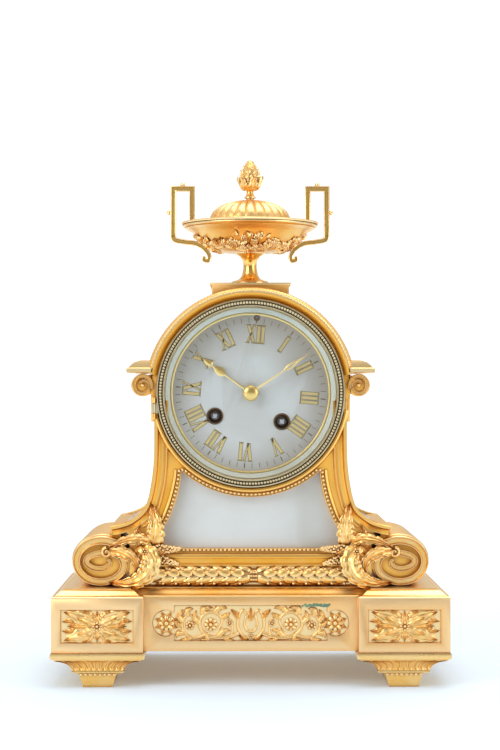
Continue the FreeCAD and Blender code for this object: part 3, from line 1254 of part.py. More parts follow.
def bell_stand():
    """A post on the back plate, an arm behind the bell, and the stud that carries it."""
    back = BELL_FRONT + BELL_DEPTH
    arm_y = back + 1.0
    u, v = BELL_STAND
    du, dv = BELL_CENTRE[0] - u, BELL_CENTRE[1] - v
    length = math.hypot(du, dv)
    side_u, side_v = -dv / length * 2.4, du / length * 2.4
    arm = [(u + side_u, v + side_v), (side_u, BELL_V + side_v)]
    arm += [(-side_u, BELL_V - side_v), (u - side_u, v - side_v)]
    upright = rod(u, v, 2.4, BACK_PLATE_BACK, arm_y + 2.0)
    stud = rod(*BELL_CENTRE, BELL_STUD_RADIUS, back - BELL_WALL - 2.2, arm_y + 2.0)
    collar = rod(*BELL_CENTRE, 3.6, back + 0.05, arm_y + 3.6)
    washer = rod(*BELL_CENTRE, 3.4, back - BELL_WALL - 2.0, back - BELL_WALL - 0.4)
    return fused([upright, prism(arm, arm_y, arm_y + 2.0), stud, collar, washer])


def cannon_pinion():
    leaves_phase = meshing_phase(MINUTE, MINUTE_TEETH, CENTRE, CANNON_TEETH)
    leaves = toothed(
        CANNON_TEETH, MINUTE_MODULE, CENTRE, MINUTE_WHEEL_FRONT - 0.2, MINUTE_WHEEL_FRONT + 1.4, leaves_phase
    )
    pipe = rod(0, 0, CANNON_PIPE_RADIUS, CANNON_FRONT, MINUTE_WHEEL_FRONT + 1.4)
    return fused([leaves, pipe]).cut(rod(0, 0, CENTRE_ARBOR_RADIUS + 0.02, CANNON_FRONT - 1, 0))


def minute_wheel():
    y0 = MINUTE_WHEEL_FRONT
    u, v = MINUTE
    phase = meshing_phase(CENTRE, HOUR_TEETH, MINUTE, MINUTE_PINION)
    leaves = toothed(MINUTE_PINION, HOUR_MODULE, MINUTE, HOUR_WHEEL_FRONT - 0.2, y0 + 0.2, phase)
    wheel = crossed_wheel(MINUTE_TEETH, MINUTE_MODULE, MINUTE, y0, y0 + 1.2, 1.2, 3.4)
    return fused([leaves, wheel]).cut(rod(u, v, MINUTE_STUD_RADIUS + RUNNING, y0 - 6, y0 + 3))


def hour_wheel():
    y0 = HOUR_WHEEL_FRONT
    wheel = toothed(HOUR_TEETH, HOUR_MODULE, CENTRE, y0, y0 + 1.2)
    pipe = rod(0, 0, HOUR_PIPE_RADIUS, HOUR_HAND_BACK - HAND_THICK, y0 + 1.2)
    return fused([wheel, pipe]).cut(rod(0, 0, CANNON_PIPE_RADIUS + RUNNING, -90, 0))


def hand(length, degrees, hub, bore, back, widths):
    """A flat hand that points up and is then turned: hub, narrow stem, wide leaf and point."""
    stem, leaf = widths
    outline = [(-stem, 0), (-stem, length * 0.34), (-leaf, length * 0.48)]
    outline += [(-stem, length * 0.66), (0, length)]
    outline += [(-u, v) for u, v in outline[-2::-1]]
    y0 = back - HAND_THICK
    blade = prism(outline, y0, back)
    shape = fused([blade, rod(0, 0, hub, y0, back)]).cut(rod(0, 0, bore, y0 - 1, back + 1))
    shape.rotate(V(0, 0, 0), V(0, 1, 0), degrees)
    return shape


def hand_nut():
    """A domed nut on the end of the centre arbor."""
    back = CANNON_FRONT - 0.1
    dome = [(0.0, back), (5.3, back), (5.3, back - 0.7)]
    dome += [(4.6, back - 1.9), (3.0, back - 2.8), (0.0, back - 3.2)]
    return lathe_y(dome, 0, 0).cut(rod(0, 0, CENTRE_ARBOR_RADIUS + 0.02, DIAL_FRONT - 7.05, 0))


def rate_arbor():
    """The thin rod from the dial's small hole to the suspension, with a square front end."""
    back = PENDULUM_Y + 4.0
    shaft = rod(0, RATE_ARBOR_RISE, RATE_ARBOR_RADIUS, DIAL_FRONT + 1.5, back)
    half = 0.5
    square_v = (RATE_ARBOR_RISE - half, RATE_ARBOR_RISE + half)
    square = box(-half, half, DIAL_FRONT + 0.2, DIAL_FRONT + 2, *square_v)
    return fused([shaft, square])


def case_fasteners():
    """The urn's tie rod, the body bolts, the foot studs with their nuts, and the two hinge pins."""
    vault = DIAL_Z + math.sqrt((ARCH_RADIUS - ROOF_THICK) ** 2 - 16.0)
    tie = fused([post(0, 0, TIE_ROD_RADIUS, vault - 4, ROD_TOP), post(0, 0, 4.0, vault - 3.2, vault)])
    solids = [tie]
    for x, y in BOLT_PLACES:
        shank = post(x, y, BOLT_RADIUS, BLOCK_TOP - 1, BODY_BASE + 7)
        solids.append(fused([shank, post(x, y, BOLT_HEAD_RADIUS, BLOCK_TOP - 3, BLOCK_TOP)]))
    floor = FOOT_HEIGHT + PLINTH_WALL
    for x, y in FOOT_PLACES:
        stud = post(x, y, STUD_RADIUS, FOOT_HEIGHT - 13, floor + 5)
        solids.append(fused([stud, post(x, y, 4.8, floor, floor + 3.6)]))
    for x, y, z in ((HINGE_X, HINGE_Y, HINGE_Z), (DOOR_HINGE_X, DOOR_HINGE_Y, DIAL_Z)):
        half = KNUCKLE_HALF + FREE + LUG_LENGTH
        solids.append(post(x, y, PIN_RADIUS - RUNNING, z - half, z + half))
    return solids


save("case_fasteners", case_fasteners())
save("front_plate", in_case(front_plate()))
save("back_plate", in_case(back_plate()))
save("pillars", in_case(pillars()))
for train, place, side in (("going", GOING_BARREL, 1), ("strike", STRIKE_BARREL, -1)):
    save(train + "_barrel", in_case(barrel(place)))
    save(train + "_mainspring", in_case(mainspring(place, side)))
    save(train + "_winding_arbor", in_case(winding_arbor(place, side)))
    save(train + "_click", in_case(click(side)))
save("going_second_wheel", in_case(going_second_wheel()))
save("centre_wheel", in_case(centre_wheel()))
save("third_wheel", in_case(third_wheel()))
save("escape_wheel", in_case(escape_wheel()))
save("escape_anchor", escape_anchor())
save("suspension_cock", suspension_cock())
save("pendulum_rod", pendulum_rod())
save("pendulum_bob", pendulum_bob())
save("strike_second_wheel", in_case(strike_second_wheel()))
save("count_wheel", in_case(count_wheel()))
save("pin_wheel", in_case(pin_wheel()))
save("fly", in_case(fly()))
save("hammer", in_case(hammer()))
save("bell", in_case(bell()))
save("bell_stand", in_case(bell_stand()))
save("cannon_pinion", in_case(cannon_pinion()))
save("minute_wheel", in_case(minute_wheel()))
save("hour_wheel", in_case(hour_wheel()))
HOUR_HAND = hand(HOUR_HAND_LENGTH, HOUR_HAND_ANGLE, 4.4, HOUR_PIPE_RADIUS + 0.02, HOUR_HAND_BACK, (0.8, 2.6))
save("hour_hand", in_case(HOUR_HAND))
minute_bore = CANNON_PIPE_RADIUS + 0.02
MINUTE_HAND = hand(MINUTE_HAND_LENGTH, MINUTE_HAND_ANGLE, 3.6, minute_bore, MINUTE_HAND_BACK, (0.7, 1.9))
save("minute_hand", in_case(MINUTE_HAND))
save("hand_nut", in_case(hand_nut()))
save("rate_arbor", in_case(rate_arbor()))

print("hinge axis of the bezel:", HINGE_X, HINGE_Y, "of the door:", DOOR_HINGE_X, DOOR_HINGE_Y)
for name, place in (("centre", CENTRE), ("going_barrel", GOING_BARREL), ("strike_barrel", STRIKE_BARREL),
                    ("going_second", GOING_SECOND), ("third", THIRD), ("escape", ESCAPE), ("anchor", ANCHOR),
                    ("strike_second", STRIKE_SECOND), ("pin", PIN), ("fly", FLY), ("minute", MINUTE),
                    ("hammer", HAMMER_PIVOT), ("rate", (0.0, RATE_ARBOR_RISE)), ("bell", BELL_CENTRE),
                    ("going_click", click_frame(1, CLICK_PIVOT_OUT, CLICK_PIVOT_ALONG)),
                    ("strike_click", click_frame(-1, CLICK_PIVOT_OUT, CLICK_PIVOT_ALONG))):
    x, z = case_point(*place)
    print(f"axis {name} {x:.5f} {z:.5f}")
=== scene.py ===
"""Looks of the mantel clock: gilt bronze, white onyx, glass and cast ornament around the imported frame.

Sizes here are millimetres, and every mesh is written out in metres in the frame's own axes: X to the right,
Y back from the dial, Z up.
"""
import math
import random

import bmesh
import bpy
from mathutils import Matrix, Vector


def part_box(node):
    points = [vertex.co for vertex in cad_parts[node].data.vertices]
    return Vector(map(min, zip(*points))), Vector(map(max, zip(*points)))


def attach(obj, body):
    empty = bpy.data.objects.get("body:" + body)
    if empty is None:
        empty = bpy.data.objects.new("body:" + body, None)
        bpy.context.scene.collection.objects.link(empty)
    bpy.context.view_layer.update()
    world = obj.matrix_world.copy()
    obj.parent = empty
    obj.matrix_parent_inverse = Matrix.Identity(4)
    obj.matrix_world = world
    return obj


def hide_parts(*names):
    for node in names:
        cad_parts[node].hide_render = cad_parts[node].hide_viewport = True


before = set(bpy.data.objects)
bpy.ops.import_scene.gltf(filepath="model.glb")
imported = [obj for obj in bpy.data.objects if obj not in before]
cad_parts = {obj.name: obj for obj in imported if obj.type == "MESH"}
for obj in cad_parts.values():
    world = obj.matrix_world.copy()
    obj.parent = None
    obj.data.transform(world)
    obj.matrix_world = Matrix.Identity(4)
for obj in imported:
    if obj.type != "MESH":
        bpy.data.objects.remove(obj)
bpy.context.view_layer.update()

bl_info = {
    "name": "Mantel Clock Dressing",
    "version": (1, 0, 0),
    "blender": (4, 5, 0),
    "location": "View3D > Sidebar > Mantel Clock",
    "description": "Dresses a packed mantel clock in gilt bronze, onyx, glass and cast ornament",
    "category": "Object",
}

MM = 0.001


# ---------------------------------------------------------------- places read from the frame
def span(node):
    """A node's lowest and highest corners, in millimetres."""
    low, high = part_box(node)
    return low / MM, high / MM


PLINTH_LOW, PLINTH_HIGH = span("plinth_body")
TOP_LOW, TOP_HIGH = span("plinth_top")
SCROLL_LOW, SCROLL_HIGH = span("side_scrolls")
CORNICE_LOW, CORNICE_HIGH = span("cornice")
BOWL_LOW, BOWL_HIGH = span("urn_bowl")
LID_LOW, LID_HIGH = span("urn_lid")
FINIAL_LOW, FINIAL_HIGH = span("finial")
BEZEL_LOW = span("bezel")[0]
DIAL_LOW = span("dial")[0]
CHAPTER_LOW, CHAPTER_HIGH = span("dial_ring")
FEET_HIGH = span("feet")[1]
HOUR_LOW, HOUR_HIGH = span("hour_hand")
MINUTE_LOW, MINUTE_HIGH = span("minute_hand")

BODY_FRONT = SCROLL_LOW.y
BODY_BACK = SCROLL_HIGH.y
BODY_BASE = TOP_HIGH.z
DIAL_Z = (CHAPTER_LOW.z + CHAPTER_HIGH.z) / 2
DIAL_FACE = DIAL_LOW.y
DIAL_TURN = math.radians(4.8)
ARCH_TOP_RADIUS = CORNICE_HIGH.z - DIAL_Z
STEP_Z = BODY_BASE + 39.8
FORWARD = Vector((0, -1, 0))
BREAK_X = PLINTH_HIGH.x - 59.5
BREAK_Y = PLINTH_LOW.y + 9.0
PLAQUE_X = PLINTH_HIGH.x - 29.75
PLAQUE_Z = (PLINTH_LOW.z + PLINTH_HIGH.z) / 2 - 0.3
FRIEZE_Z = PLAQUE_Z + 0.7
BEZEL_BACK = BODY_FRONT - 0.8
HINGE_PLACE = (-63.7, -59.6)
KNUCKLE_WIDE = 1.25
KNUCKLE_LONG = 3.3
HAND_THICK = 0.6
CORNICE_WING_Z = DIAL_Z + 13.3
ROD_HOLE = 2.0
HANDLE_TOP = 333.5
FOOT_HALF_X = 30.7
FOOT_HALF_Y = 28.0
GOLDEN_ANGLE = 2.39996
ARCH_START, ARCH_END = 10.6, 169.4
ARCH_LEAVES = 78


# ---------------------------------------------------------------- mesh helpers
class Shape:
    """Points and faces of closed solids, gathered in millimetres."""

    def __init__(self):
        self.points = []
        self.faces = []

    def loft(self, rings, wrap=False):
        """Closed rings of equal length joined in turn. wrap joins last to first, else both are shut."""
        base = len(self.points)
        count = len(rings[0])
        for ring in rings:
            self.points.extend(Vector(point) for point in ring)
        last = len(rings) if wrap else len(rings) - 1
        for row in range(last):
            here = base + row * count
            there = base + (row + 1) % len(rings) * count
            for column in range(count):
                after = (column + 1) % count
                self.faces.append((here + column, here + after, there + after, there + column))
        if not wrap:
            self.fan(base, count)
            self.fan(base + (len(rings) - 1) * count, count)
        return self

    def fan(self, first, count):
        """Closes a ring with triangles that meet in its middle."""
        middle = sum((self.points[first + index] for index in range(count)), Vector()) / count
        self.points.append(middle)
        centre = len(self.points) - 1
        for index in range(count):
            self.faces.append((first + index, first + (index + 1) % count, centre))

    def merge(self, other, matrix=None):
        """Adds another shape's solids, moved by a matrix."""
        base = len(self.points)
        self.points.extend(matrix @ point if matrix else point.copy() for point in other.points)
        self.faces.extend(tuple(base + index for index in face) for face in other.faces)
        return self

    def mirrored(self):
        """Adds the mirror image across X = 0."""
        base = len(self.points)
        self.points.extend(Vector((-point.x, point.y, point.z)) for point in list(self.points))
        self.faces.extend(tuple(base + index for index in face) for face in list(self.faces))
        return self


def mesh_object(name, shape, sharp_degrees=35.0):
    """A shape as a scene object: doubles merged, faces turned outwards, smooth but for its sharp edges."""
    mesh = bpy.data.meshes.new(name)
    mesh.from_pydata([point * MM for point in shape.points], [], shape.faces)
    tidy_mesh(mesh, sharp_degrees)
    piece = bpy.data.objects.new(name, mesh)
    bpy.context.scene.collection.objects.link(piece)
    return piece


def tidy_mesh(mesh, sharp_degrees, merge=2e-7):
    work = bmesh.new()
    work.from_mesh(mesh)
    bmesh.ops.remove_doubles(work, verts=work.verts, dist=merge)
    bmesh.ops.dissolve_degenerate(work, edges=work.edges, dist=1e-8)
    bmesh.ops.recalc_face_normals(work, faces=work.faces)
    for face in work.faces:
        face.smooth = True
    work.to_mesh(mesh)
    work.free()
    mesh.set_sharp_from_angle(angle=math.radians(sharp_degrees))
    mesh.update()


def dress(piece, body, slot, material, *nodes):
    """Gives a finished piece its material and body, and lets it stand for CAD nodes. slot is not used."""
    piece.data.materials.clear()
    piece.data.materials.append(material)
    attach(piece, body)
    if nodes:
        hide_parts(*nodes)
    return piece


def curve_through(points, per_span):
    """Points along a smooth curve through the given ones."""
    points = [Vector(point) for point in points]
    ends = [2 * points[0] - points[1]] + points + [2 * points[-1] - points[-2]]
    path = []
    for index in range(1, len(ends) - 2):
        p0, p1, p2, p3 = ends[index - 1 : index + 3]
        for step in range(per_span):
            t = step / per_span
            path.append(
                0.5 * (2 * p1 + (p2 - p0) * t + (2 * p0 - 5 * p1 + 4 * p2 - p3) * t**2
                       + (3 * p1 - 3 * p2 + p3 - p0) * t**3)
            )
    path.append(points[-1])
    return path


def arc(centre, radius, start, end, steps, squash=1.0):
    """(across, up) points of an arc between two angles in degrees."""
    points = []
    for step in range(steps + 1):
        angle = math.radians(start + (end - start) * step / steps)
        points.append((centre[0] + radius * math.cos(angle), centre[1] + radius * squash * math.sin(angle)))
    return points


def turned(profile, steps=96, centre=(0.0, 0.0), start=0.0, end=360.0, along_y=False):
    """A solid turned from a closed outline of (radius, height) points, about Z or about the dial's axis."""
    whole = abs(end - start) >= 360.0
    count = steps if whole else steps + 1
    rings = []
    for step in range(count):
        angle = math.radians(start + (end - start) * step / steps)
        ring = []
        for radius, height in profile:
            across = radius * math.cos(angle)
            up = radius * math.sin(angle)
            if along_y:
                ring.append((centre[0] + across, height, centre[1] + up))
            else:
                ring.append((centre[0] + across, centre[1] + up, height))
        rings.append(ring)
    return Shape().loft(rings, wrap=whole)


def swept(path, profile, closed=False):
    """A moulding: an outline of (outward, y) points carried along an (x, z) path with mitred corners."""
    rings = []
    count = len(path)
    for index in range(count):
        here = Vector(path[index])
        before = Vector(path[index - 1]) if index or closed else here
        after = Vector(path[(index + 1) % count]) if index < count - 1 or closed else here
        lead = (here - before).normalized() if (here - before).length > 1e-9 else None
        follow = (after - here).normalized() if (after - here).length > 1e-9 else None
        lead = lead or follow
        follow = follow or lead
        normal = Vector((-(lead.y + follow.y), lead.x + follow.x)).normalized()
        stretch = 1.0 / max(0.35, normal.dot(Vector((-lead.y, lead.x))))
        ring = [(here.x + normal.x * out * stretch, y, here.y + normal.y * out * stretch)
                for out, y in profile]
        rings.append(ring)
    return Shape().loft(rings, wrap=closed)


def strap(path, ups, half_width, surface, columns=10, thick=1.0):
    """A ribbon along a path. surface(s, t) lifts its face: s is -1 to 1 across, t is 0 to 1 along."""
    rings = []
    count = len(path)
    for index, point in enumerate(path):
        t = index / (count - 1)
        ahead = path[min(index + 1, count - 1)] - path[max(index - 1, 0)]
        ahead.normalize()
        up = ups[index] if isinstance(ups, list) else ups
        across = ahead.cross(up).normalized()
        lift = across.cross(ahead).normalized()
        wide = max(half_width(t), 0.04)
        ring = []
        for step in range(columns + 1):
            s = -1.0 + 2.0 * step / columns
            ring.append(point + across * (wide * s) + lift * surface(s, t))
        for step in range(columns, -1, -2):
            s = -1.0 + 2.0 * step / columns
            ring.append(point + across * (wide * s * 0.92) - lift * thick)
        rings.append(ring)
    return Shape().loft(rings)


def leaf(points, width, up=FORWARD, lobes=5, height=1.6, depth=0.45, thick=0.8, rows=9, columns=12,
         cup=0.0):
    """An acanthus leaf along a curve: notched sides, slanting veins, a ridge in the middle and a soft tip."""
    path = curve_through(points, rows)

    def half_width(t):
        body = math.sin(math.pi * min(1.0, 0.16 + 0.86 * t) ** 0.8) ** 0.75
        notch = (t * lobes) % 1.0
        return width * body * (1.0 - 0.28 * notch**2.2)

    def surface(s, t):
        crown = height * (1.0 - abs(s) ** 2) * min(1.0, 6 * t + 0.3) * min(1.0, 5 * (1 - t) + 0.2)
        slant = math.cos(2 * math.pi * (t * lobes - 0.55 * abs(s))) * min(1.0, 1.6 * abs(s))
        fold = math.cos(3.4 * math.pi * abs(s)) * min(1.0, 4 * t)
        vein = depth * (0.45 * slant + 0.6 * fold)
        ridge = 0.5 * depth * max(0.0, 1.0 - abs(s) * 5)
        return crown + vein + ridge + cup * s * s

    return strap(path, up, half_width, surface, columns, thick)


def blossom(petals=8, radius=3.0, rise=0.9, button=0.32):
    """A flower that faces +Z, with round petals about a grained button."""
    shape = Shape()
    columns = petals * 6
    rings = []
    for share, low in ((1.0, -0.5), (1.0, 0.0), (0.82, 0.75), (0.55, 0.95), (button, 0.15), (0.0, 0.1)):
        ring = []
        for step in range(columns):
            angle = 2 * math.pi * step / columns
            lobe = abs(math.cos(petals * angle / 2)) ** 0.45
            out = radius * share * (1.0 - (0.26 - 0.26 * lobe) * (share > button))
            lift = rise * low * (0.45 + 0.55 * lobe if share > button else 1.0)
            ring.append((out * math.cos(angle), out * math.sin(angle), lift))
        rings.append(ring)
    shape.loft(rings)
    shape.merge(ball(radius * button * 0.95, 8, 5, 0.8), Matrix.Translation((0, 0, rise * 0.4)))
    return shape


def ball(radius, segments=10, rings=6, squash=1.0):
    """A small bead."""
    rows = []
    for row in range(1, rings):
        angle = math.pi * row / rings
        rows.append([
            (radius * math.sin(angle) * math.cos(2 * math.pi * step / segments),
             radius * math.sin(angle) * math.sin(2 * math.pi * step / segments),
             radius * squash * math.cos(angle))
            for step in range(segments)
        ])
    shape = Shape().loft(rows)
    shape.points[-2] = Vector((0, 0, radius * squash))
    shape.points[-1] = Vector((0, 0, -radius * squash))
    return shape


def facing(place, up, turn=0.0, size=1.0):
    """The matrix that sets a shape that faces +Z on a place, facing up."""
    up = Vector(up).normalized()
    matrix = up.to_track_quat("Z", "Y").to_matrix().to_4x4()
    return Matrix.Translation(Vector(place)) @ matrix @ Matrix.Rotation(turn, 4, "Z") @ Matrix.Scale(size,
            4)


def slab(outline, y0, y1, bevel=0.0):
    """A flat outline of (x, z) points between two depths, with its front edge drawn in by a bevel."""
    middle = sum((Vector(point) for point in outline), Vector((0.0, 0.0))) / len(outline)
    rings = [[(x, y1, z) for x, z in outline], [(x, y0 + bevel, z) for x, z in outline]]
    if bevel:
        drawn = []
        for x, z in outline:
            away = Vector((x, z)) - middle
            drawn.append(Vector((x, z)) - away.normalized() * min(bevel, away.length * 0.4))
        rings.append([(point.x, y0, point.y) for point in drawn])
    return Shape().loft(rings)


# ---------------------------------------------------------------- geometry nodes
def node_tree(name, inputs):
    """An empty geometry tree with a geometry in and out, and the named inputs."""
    tree = bpy.data.node_groups.new(name, "GeometryNodeTree")
    tree.interface.new_socket("Geometry", in_out="INPUT", socket_type="NodeSocketGeometry")
    for label, kind in inputs:
        tree.interface.new_socket(label, in_out="INPUT", socket_type=kind)
    tree.interface.new_socket("Geometry", in_out="OUTPUT", socket_type="NodeSocketGeometry")
    return tree, tree.nodes.new("NodeGroupInput"), tree.nodes.new("NodeGroupOutput")


def close_tree(tree, source, given, result):
    """Ends a tree in Realize Instances and Set Material."""
    realize = tree.nodes.new("GeometryNodeRealizeInstances")
    smooth = tree.nodes.new("GeometryNodeSetShadeSmooth")
    finish = tree.nodes.new("GeometryNodeSetMaterial")
    tree.links.new(source, realize.inputs["Geometry"])
    tree.links.new(realize.outputs["Geometry"], smooth.inputs["Geometry"])
    tree.links.new(smooth.outputs["Geometry"], finish.inputs["Geometry"])
    tree.links.new(given.outputs["Material"], finish.inputs["Material"])
    tree.links.new(finish.outputs["Geometry"], result.inputs["Geometry"])


def bead_tree():
    """Beads strung along a line: Count beads of a Radius, each flattened by Squash."""
    inputs = [("Count", "NodeSocketInt"), ("Radius", "NodeSocketFloat"), ("Squash", "NodeSocketFloat"),
              ("Material", "NodeSocketMaterial")]
    tree, given, result = node_tree("Bead String", inputs)
    to_curve = tree.nodes.new("GeometryNodeMeshToCurve")
    resample = tree.nodes.new("GeometryNodeResampleCurve")
    resample.mode = "COUNT"
    sphere = tree.nodes.new("GeometryNodeMeshUVSphere")
    sphere.inputs["Segments"].default_value = 8
    sphere.inputs["Rings"].default_value = 5
    stretch = tree.nodes.new("ShaderNodeCombineXYZ")
    stretch.inputs["X"].default_value = 1.0
    stretch.inputs["Z"].default_value = 1.0
    strung = tree.nodes.new("GeometryNodeInstanceOnPoints")
    links = tree.links
    links.new(given.outputs["Geometry"], to_curve.inputs["Mesh"])
    links.new(to_curve.outputs["Curve"], resample.inputs["Curve"])
    links.new(given.outputs["Count"], resample.inputs["Count"])
    links.new(given.outputs["Radius"], sphere.inputs["Radius"])
    links.new(given.outputs["Squash"], stretch.inputs["Y"])
    links.new(resample.outputs["Curve"], strung.inputs["Points"])
    links.new(sphere.outputs["Mesh"], strung.inputs["Instance"])
    links.new(stretch.outputs["Vector"], strung.inputs["Scale"])
    close_tree(tree, strung.outputs["Instances"], given, result)
    return tree


def scatter_tree():
    """Copies of a Pattern set on points, each turned by the points' own turn and sized by their own size."""
    inputs = [("Pattern", "NodeSocketObject"), ("Size", "NodeSocketFloat"),
              ("Material", "NodeSocketMaterial")]
    tree, given, result = node_tree("Set On Points", inputs)
    to_points = tree.nodes.new("GeometryNodeMeshToPoints")
    pattern = tree.nodes.new("GeometryNodeObjectInfo")
    turn = tree.nodes.new("GeometryNodeInputNamedAttribute")
    turn.data_type = "FLOAT_VECTOR"
    turn.inputs["Name"].default_value = "turn"
    spin = tree.nodes.new("FunctionNodeEulerToRotation")
    own = tree.nodes.new("GeometryNodeInputNamedAttribute")
    own.data_type = "FLOAT"
    own.inputs["Name"].default_value = "size"
    scale = tree.nodes.new("ShaderNodeMath")
    scale.operation = "MULTIPLY"
    placed = tree.nodes.new("GeometryNodeInstanceOnPoints")
    links = tree.links
    links.new(given.outputs["Geometry"], to_points.inputs["Mesh"])
    links.new(given.outputs["Pattern"], pattern.inputs["Object"])
    links.new(turn.outputs["Attribute"], spin.inputs["Euler"])
    links.new(own.outputs["Attribute"], scale.inputs[0])
    links.new(given.outputs["Size"], scale.inputs[1])
    links.new(to_points.outputs["Points"], placed.inputs["Points"])
    links.new(pattern.outputs["Geometry"], placed.inputs["Instance"])
    links.new(spin.outputs["Rotation"], placed.inputs["Rotation"])
    links.new(scale.outputs["Value"], placed.inputs["Scale"])
    close_tree(tree, placed.outputs["Instances"], given, result)
    return tree


def run_tree(piece, tree, values):
    """Runs a tree on an object with its inputs set, and leaves the result as a plain mesh."""
    modifier = piece.modifiers.new(tree.name, "NODES")
    modifier.node_group = tree
    for item in tree.interface.items_tree:
        if item.item_type == "SOCKET" and item.in_out == "INPUT" and item.name in values:
            modifier[item.identifier] = values[item.name]
    bpy.context.view_layer.update()
    shown = piece.evaluated_get(bpy.context.evaluated_depsgraph_get())
    mesh = bpy.data.meshes.new_from_object(shown)
    mesh.name = piece.name
    piece.modifiers.remove(modifier)
    piece.data = mesh
    if not mesh.polygons:
        raise RuntimeError(f"{piece.name} came out empty")
    return piece


def string_beads(name, path, radius, pitch, material, squash=1.0, closed=False):
    """Beads along (x, y, z) points, as a mesh object."""
    length = sum((Vector(b) - Vector(a)).length for a, b in zip(path, path[1:]))
    mesh = bpy.data.meshes.new(name)
    edges = [(index, index + 1) for index in range(len(path) - 1)]
    if closed:
        length += (Vector(path[0]) - Vector(path[-1])).length
        edges.append((len(path) - 1, 0))
    mesh.from_pydata([Vector(point) * MM for point in path], edges, [])
    piece = bpy.data.objects.new(name, mesh)
    bpy.context.scene.collection.objects.link(piece)
    count = max(2, round(length / pitch) + (0 if closed else 1))
    values = {"Count": count, "Radius": radius * MM, "Squash": squash, "Material": material}
    return run_tree(piece, shared_tree("Bead String", bead_tree), values)


def set_on_points(name, pattern, matrices, material, size=1.0):
    """Copies of a shape at the given matrices, as a mesh object."""
    mesh = bpy.data.meshes.new(name)
    mesh.from_pydata([matrix.to_translation() * MM for matrix in matrices], [], [])
    mesh.attributes.new("turn", "FLOAT_VECTOR", "POINT")
    mesh.attributes.new("size", "FLOAT", "POINT")
    for index, matrix in enumerate(matrices):
        mesh.attributes["turn"].data[index].vector = matrix.to_euler()
        mesh.attributes["size"].data[index].value = matrix.to_scale().x
    piece = bpy.data.objects.new(name, mesh)
    bpy.context.scene.collection.objects.link(piece)
    source = mesh_object(name + "_pattern", pattern, 50.0)
    values = {"Pattern": source, "Size": size, "Material": material}
    run_tree(piece, shared_tree("Set On Points", scatter_tree), values)
    bpy.data.objects.remove(source)
    return piece


def shared_tree(name, build):
    return bpy.data.node_groups.get(name) or build()


# ---------------------------------------------------------------- finishes
def shader_group(name, inputs, outputs):
    """A shader node group with the named inputs, each with its default, and the named outputs."""
    tree = bpy.data.node_groups.new(name, "ShaderNodeTree")
    for label, kind, default in inputs:
        tree.interface.new_socket(label, in_out="INPUT", socket_type=kind).default_value = default
    for label, kind in outputs:
        tree.interface.new_socket(label, in_out="OUTPUT", socket_type=kind)
    return tree, tree.nodes.new("NodeGroupInput"), tree.nodes.new("NodeGroupOutput")


def noise(tree, scale, detail=2.0, roughness=0.5, source=None):
    node = tree.nodes.new("ShaderNodeTexNoise")
    node.inputs["Detail"].default_value = detail
    node.inputs["Roughness"].default_value = roughness
    if isinstance(scale, (int, float)):
        node.inputs["Scale"].default_value = scale
    else:
        tree.links.new(scale, node.inputs["Scale"])
    if source:
        tree.links.new(source, node.inputs["Vector"])
    return node


def remap(tree, source, low, high, to_low=0.0, to_high=1.0):
    node = tree.nodes.new("ShaderNodeMapRange")
    tree.links.new(source, node.inputs["Value"])
    node.inputs["From Min"].default_value = low
    node.inputs["From Max"].default_value = high
    node.inputs["To Min"].default_value = to_low
    node.inputs["To Max"].default_value = to_high
    return node.outputs["Result"]


def mixed(tree, factor, first, second, kind="RGBA", blend="MIX"):
    """A Mix node's result. factor, first and second are sockets or values."""
    node = tree.nodes.new("ShaderNodeMix")
    node.data_type = kind
    if kind == "RGBA":
        node.blend_type = blend
    kept = "VALUE" if kind == "FLOAT" else kind
    sockets = [socket for socket in node.inputs if socket.enabled]
    one = next(socket for socket in sockets if socket.name == "A" and socket.type == kept)
    two = next(socket for socket in sockets if socket.name == "B" and socket.type == kept)
    share = next(socket for socket in node.inputs if socket.name == "Factor" and socket.type == "VALUE")
    for value, socket in ((factor, share), (first, one), (second, two)):
        if hasattr(value, "links"):
            tree.links.new(value, socket)
        else:
            socket.default_value = value
    return next(socket for socket in node.outputs if socket.name == "Result" and socket.type == kept)


def maths(tree, operation, first, second):
    node = tree.nodes.new("ShaderNodeMath")
    node.operation = operation
    for value, socket in ((first, node.inputs[0]), (second, node.inputs[1])):
        if hasattr(value, "links"):
            tree.links.new(value, socket)
        else:
            socket.default_value = value
    return node.outputs["Value"]


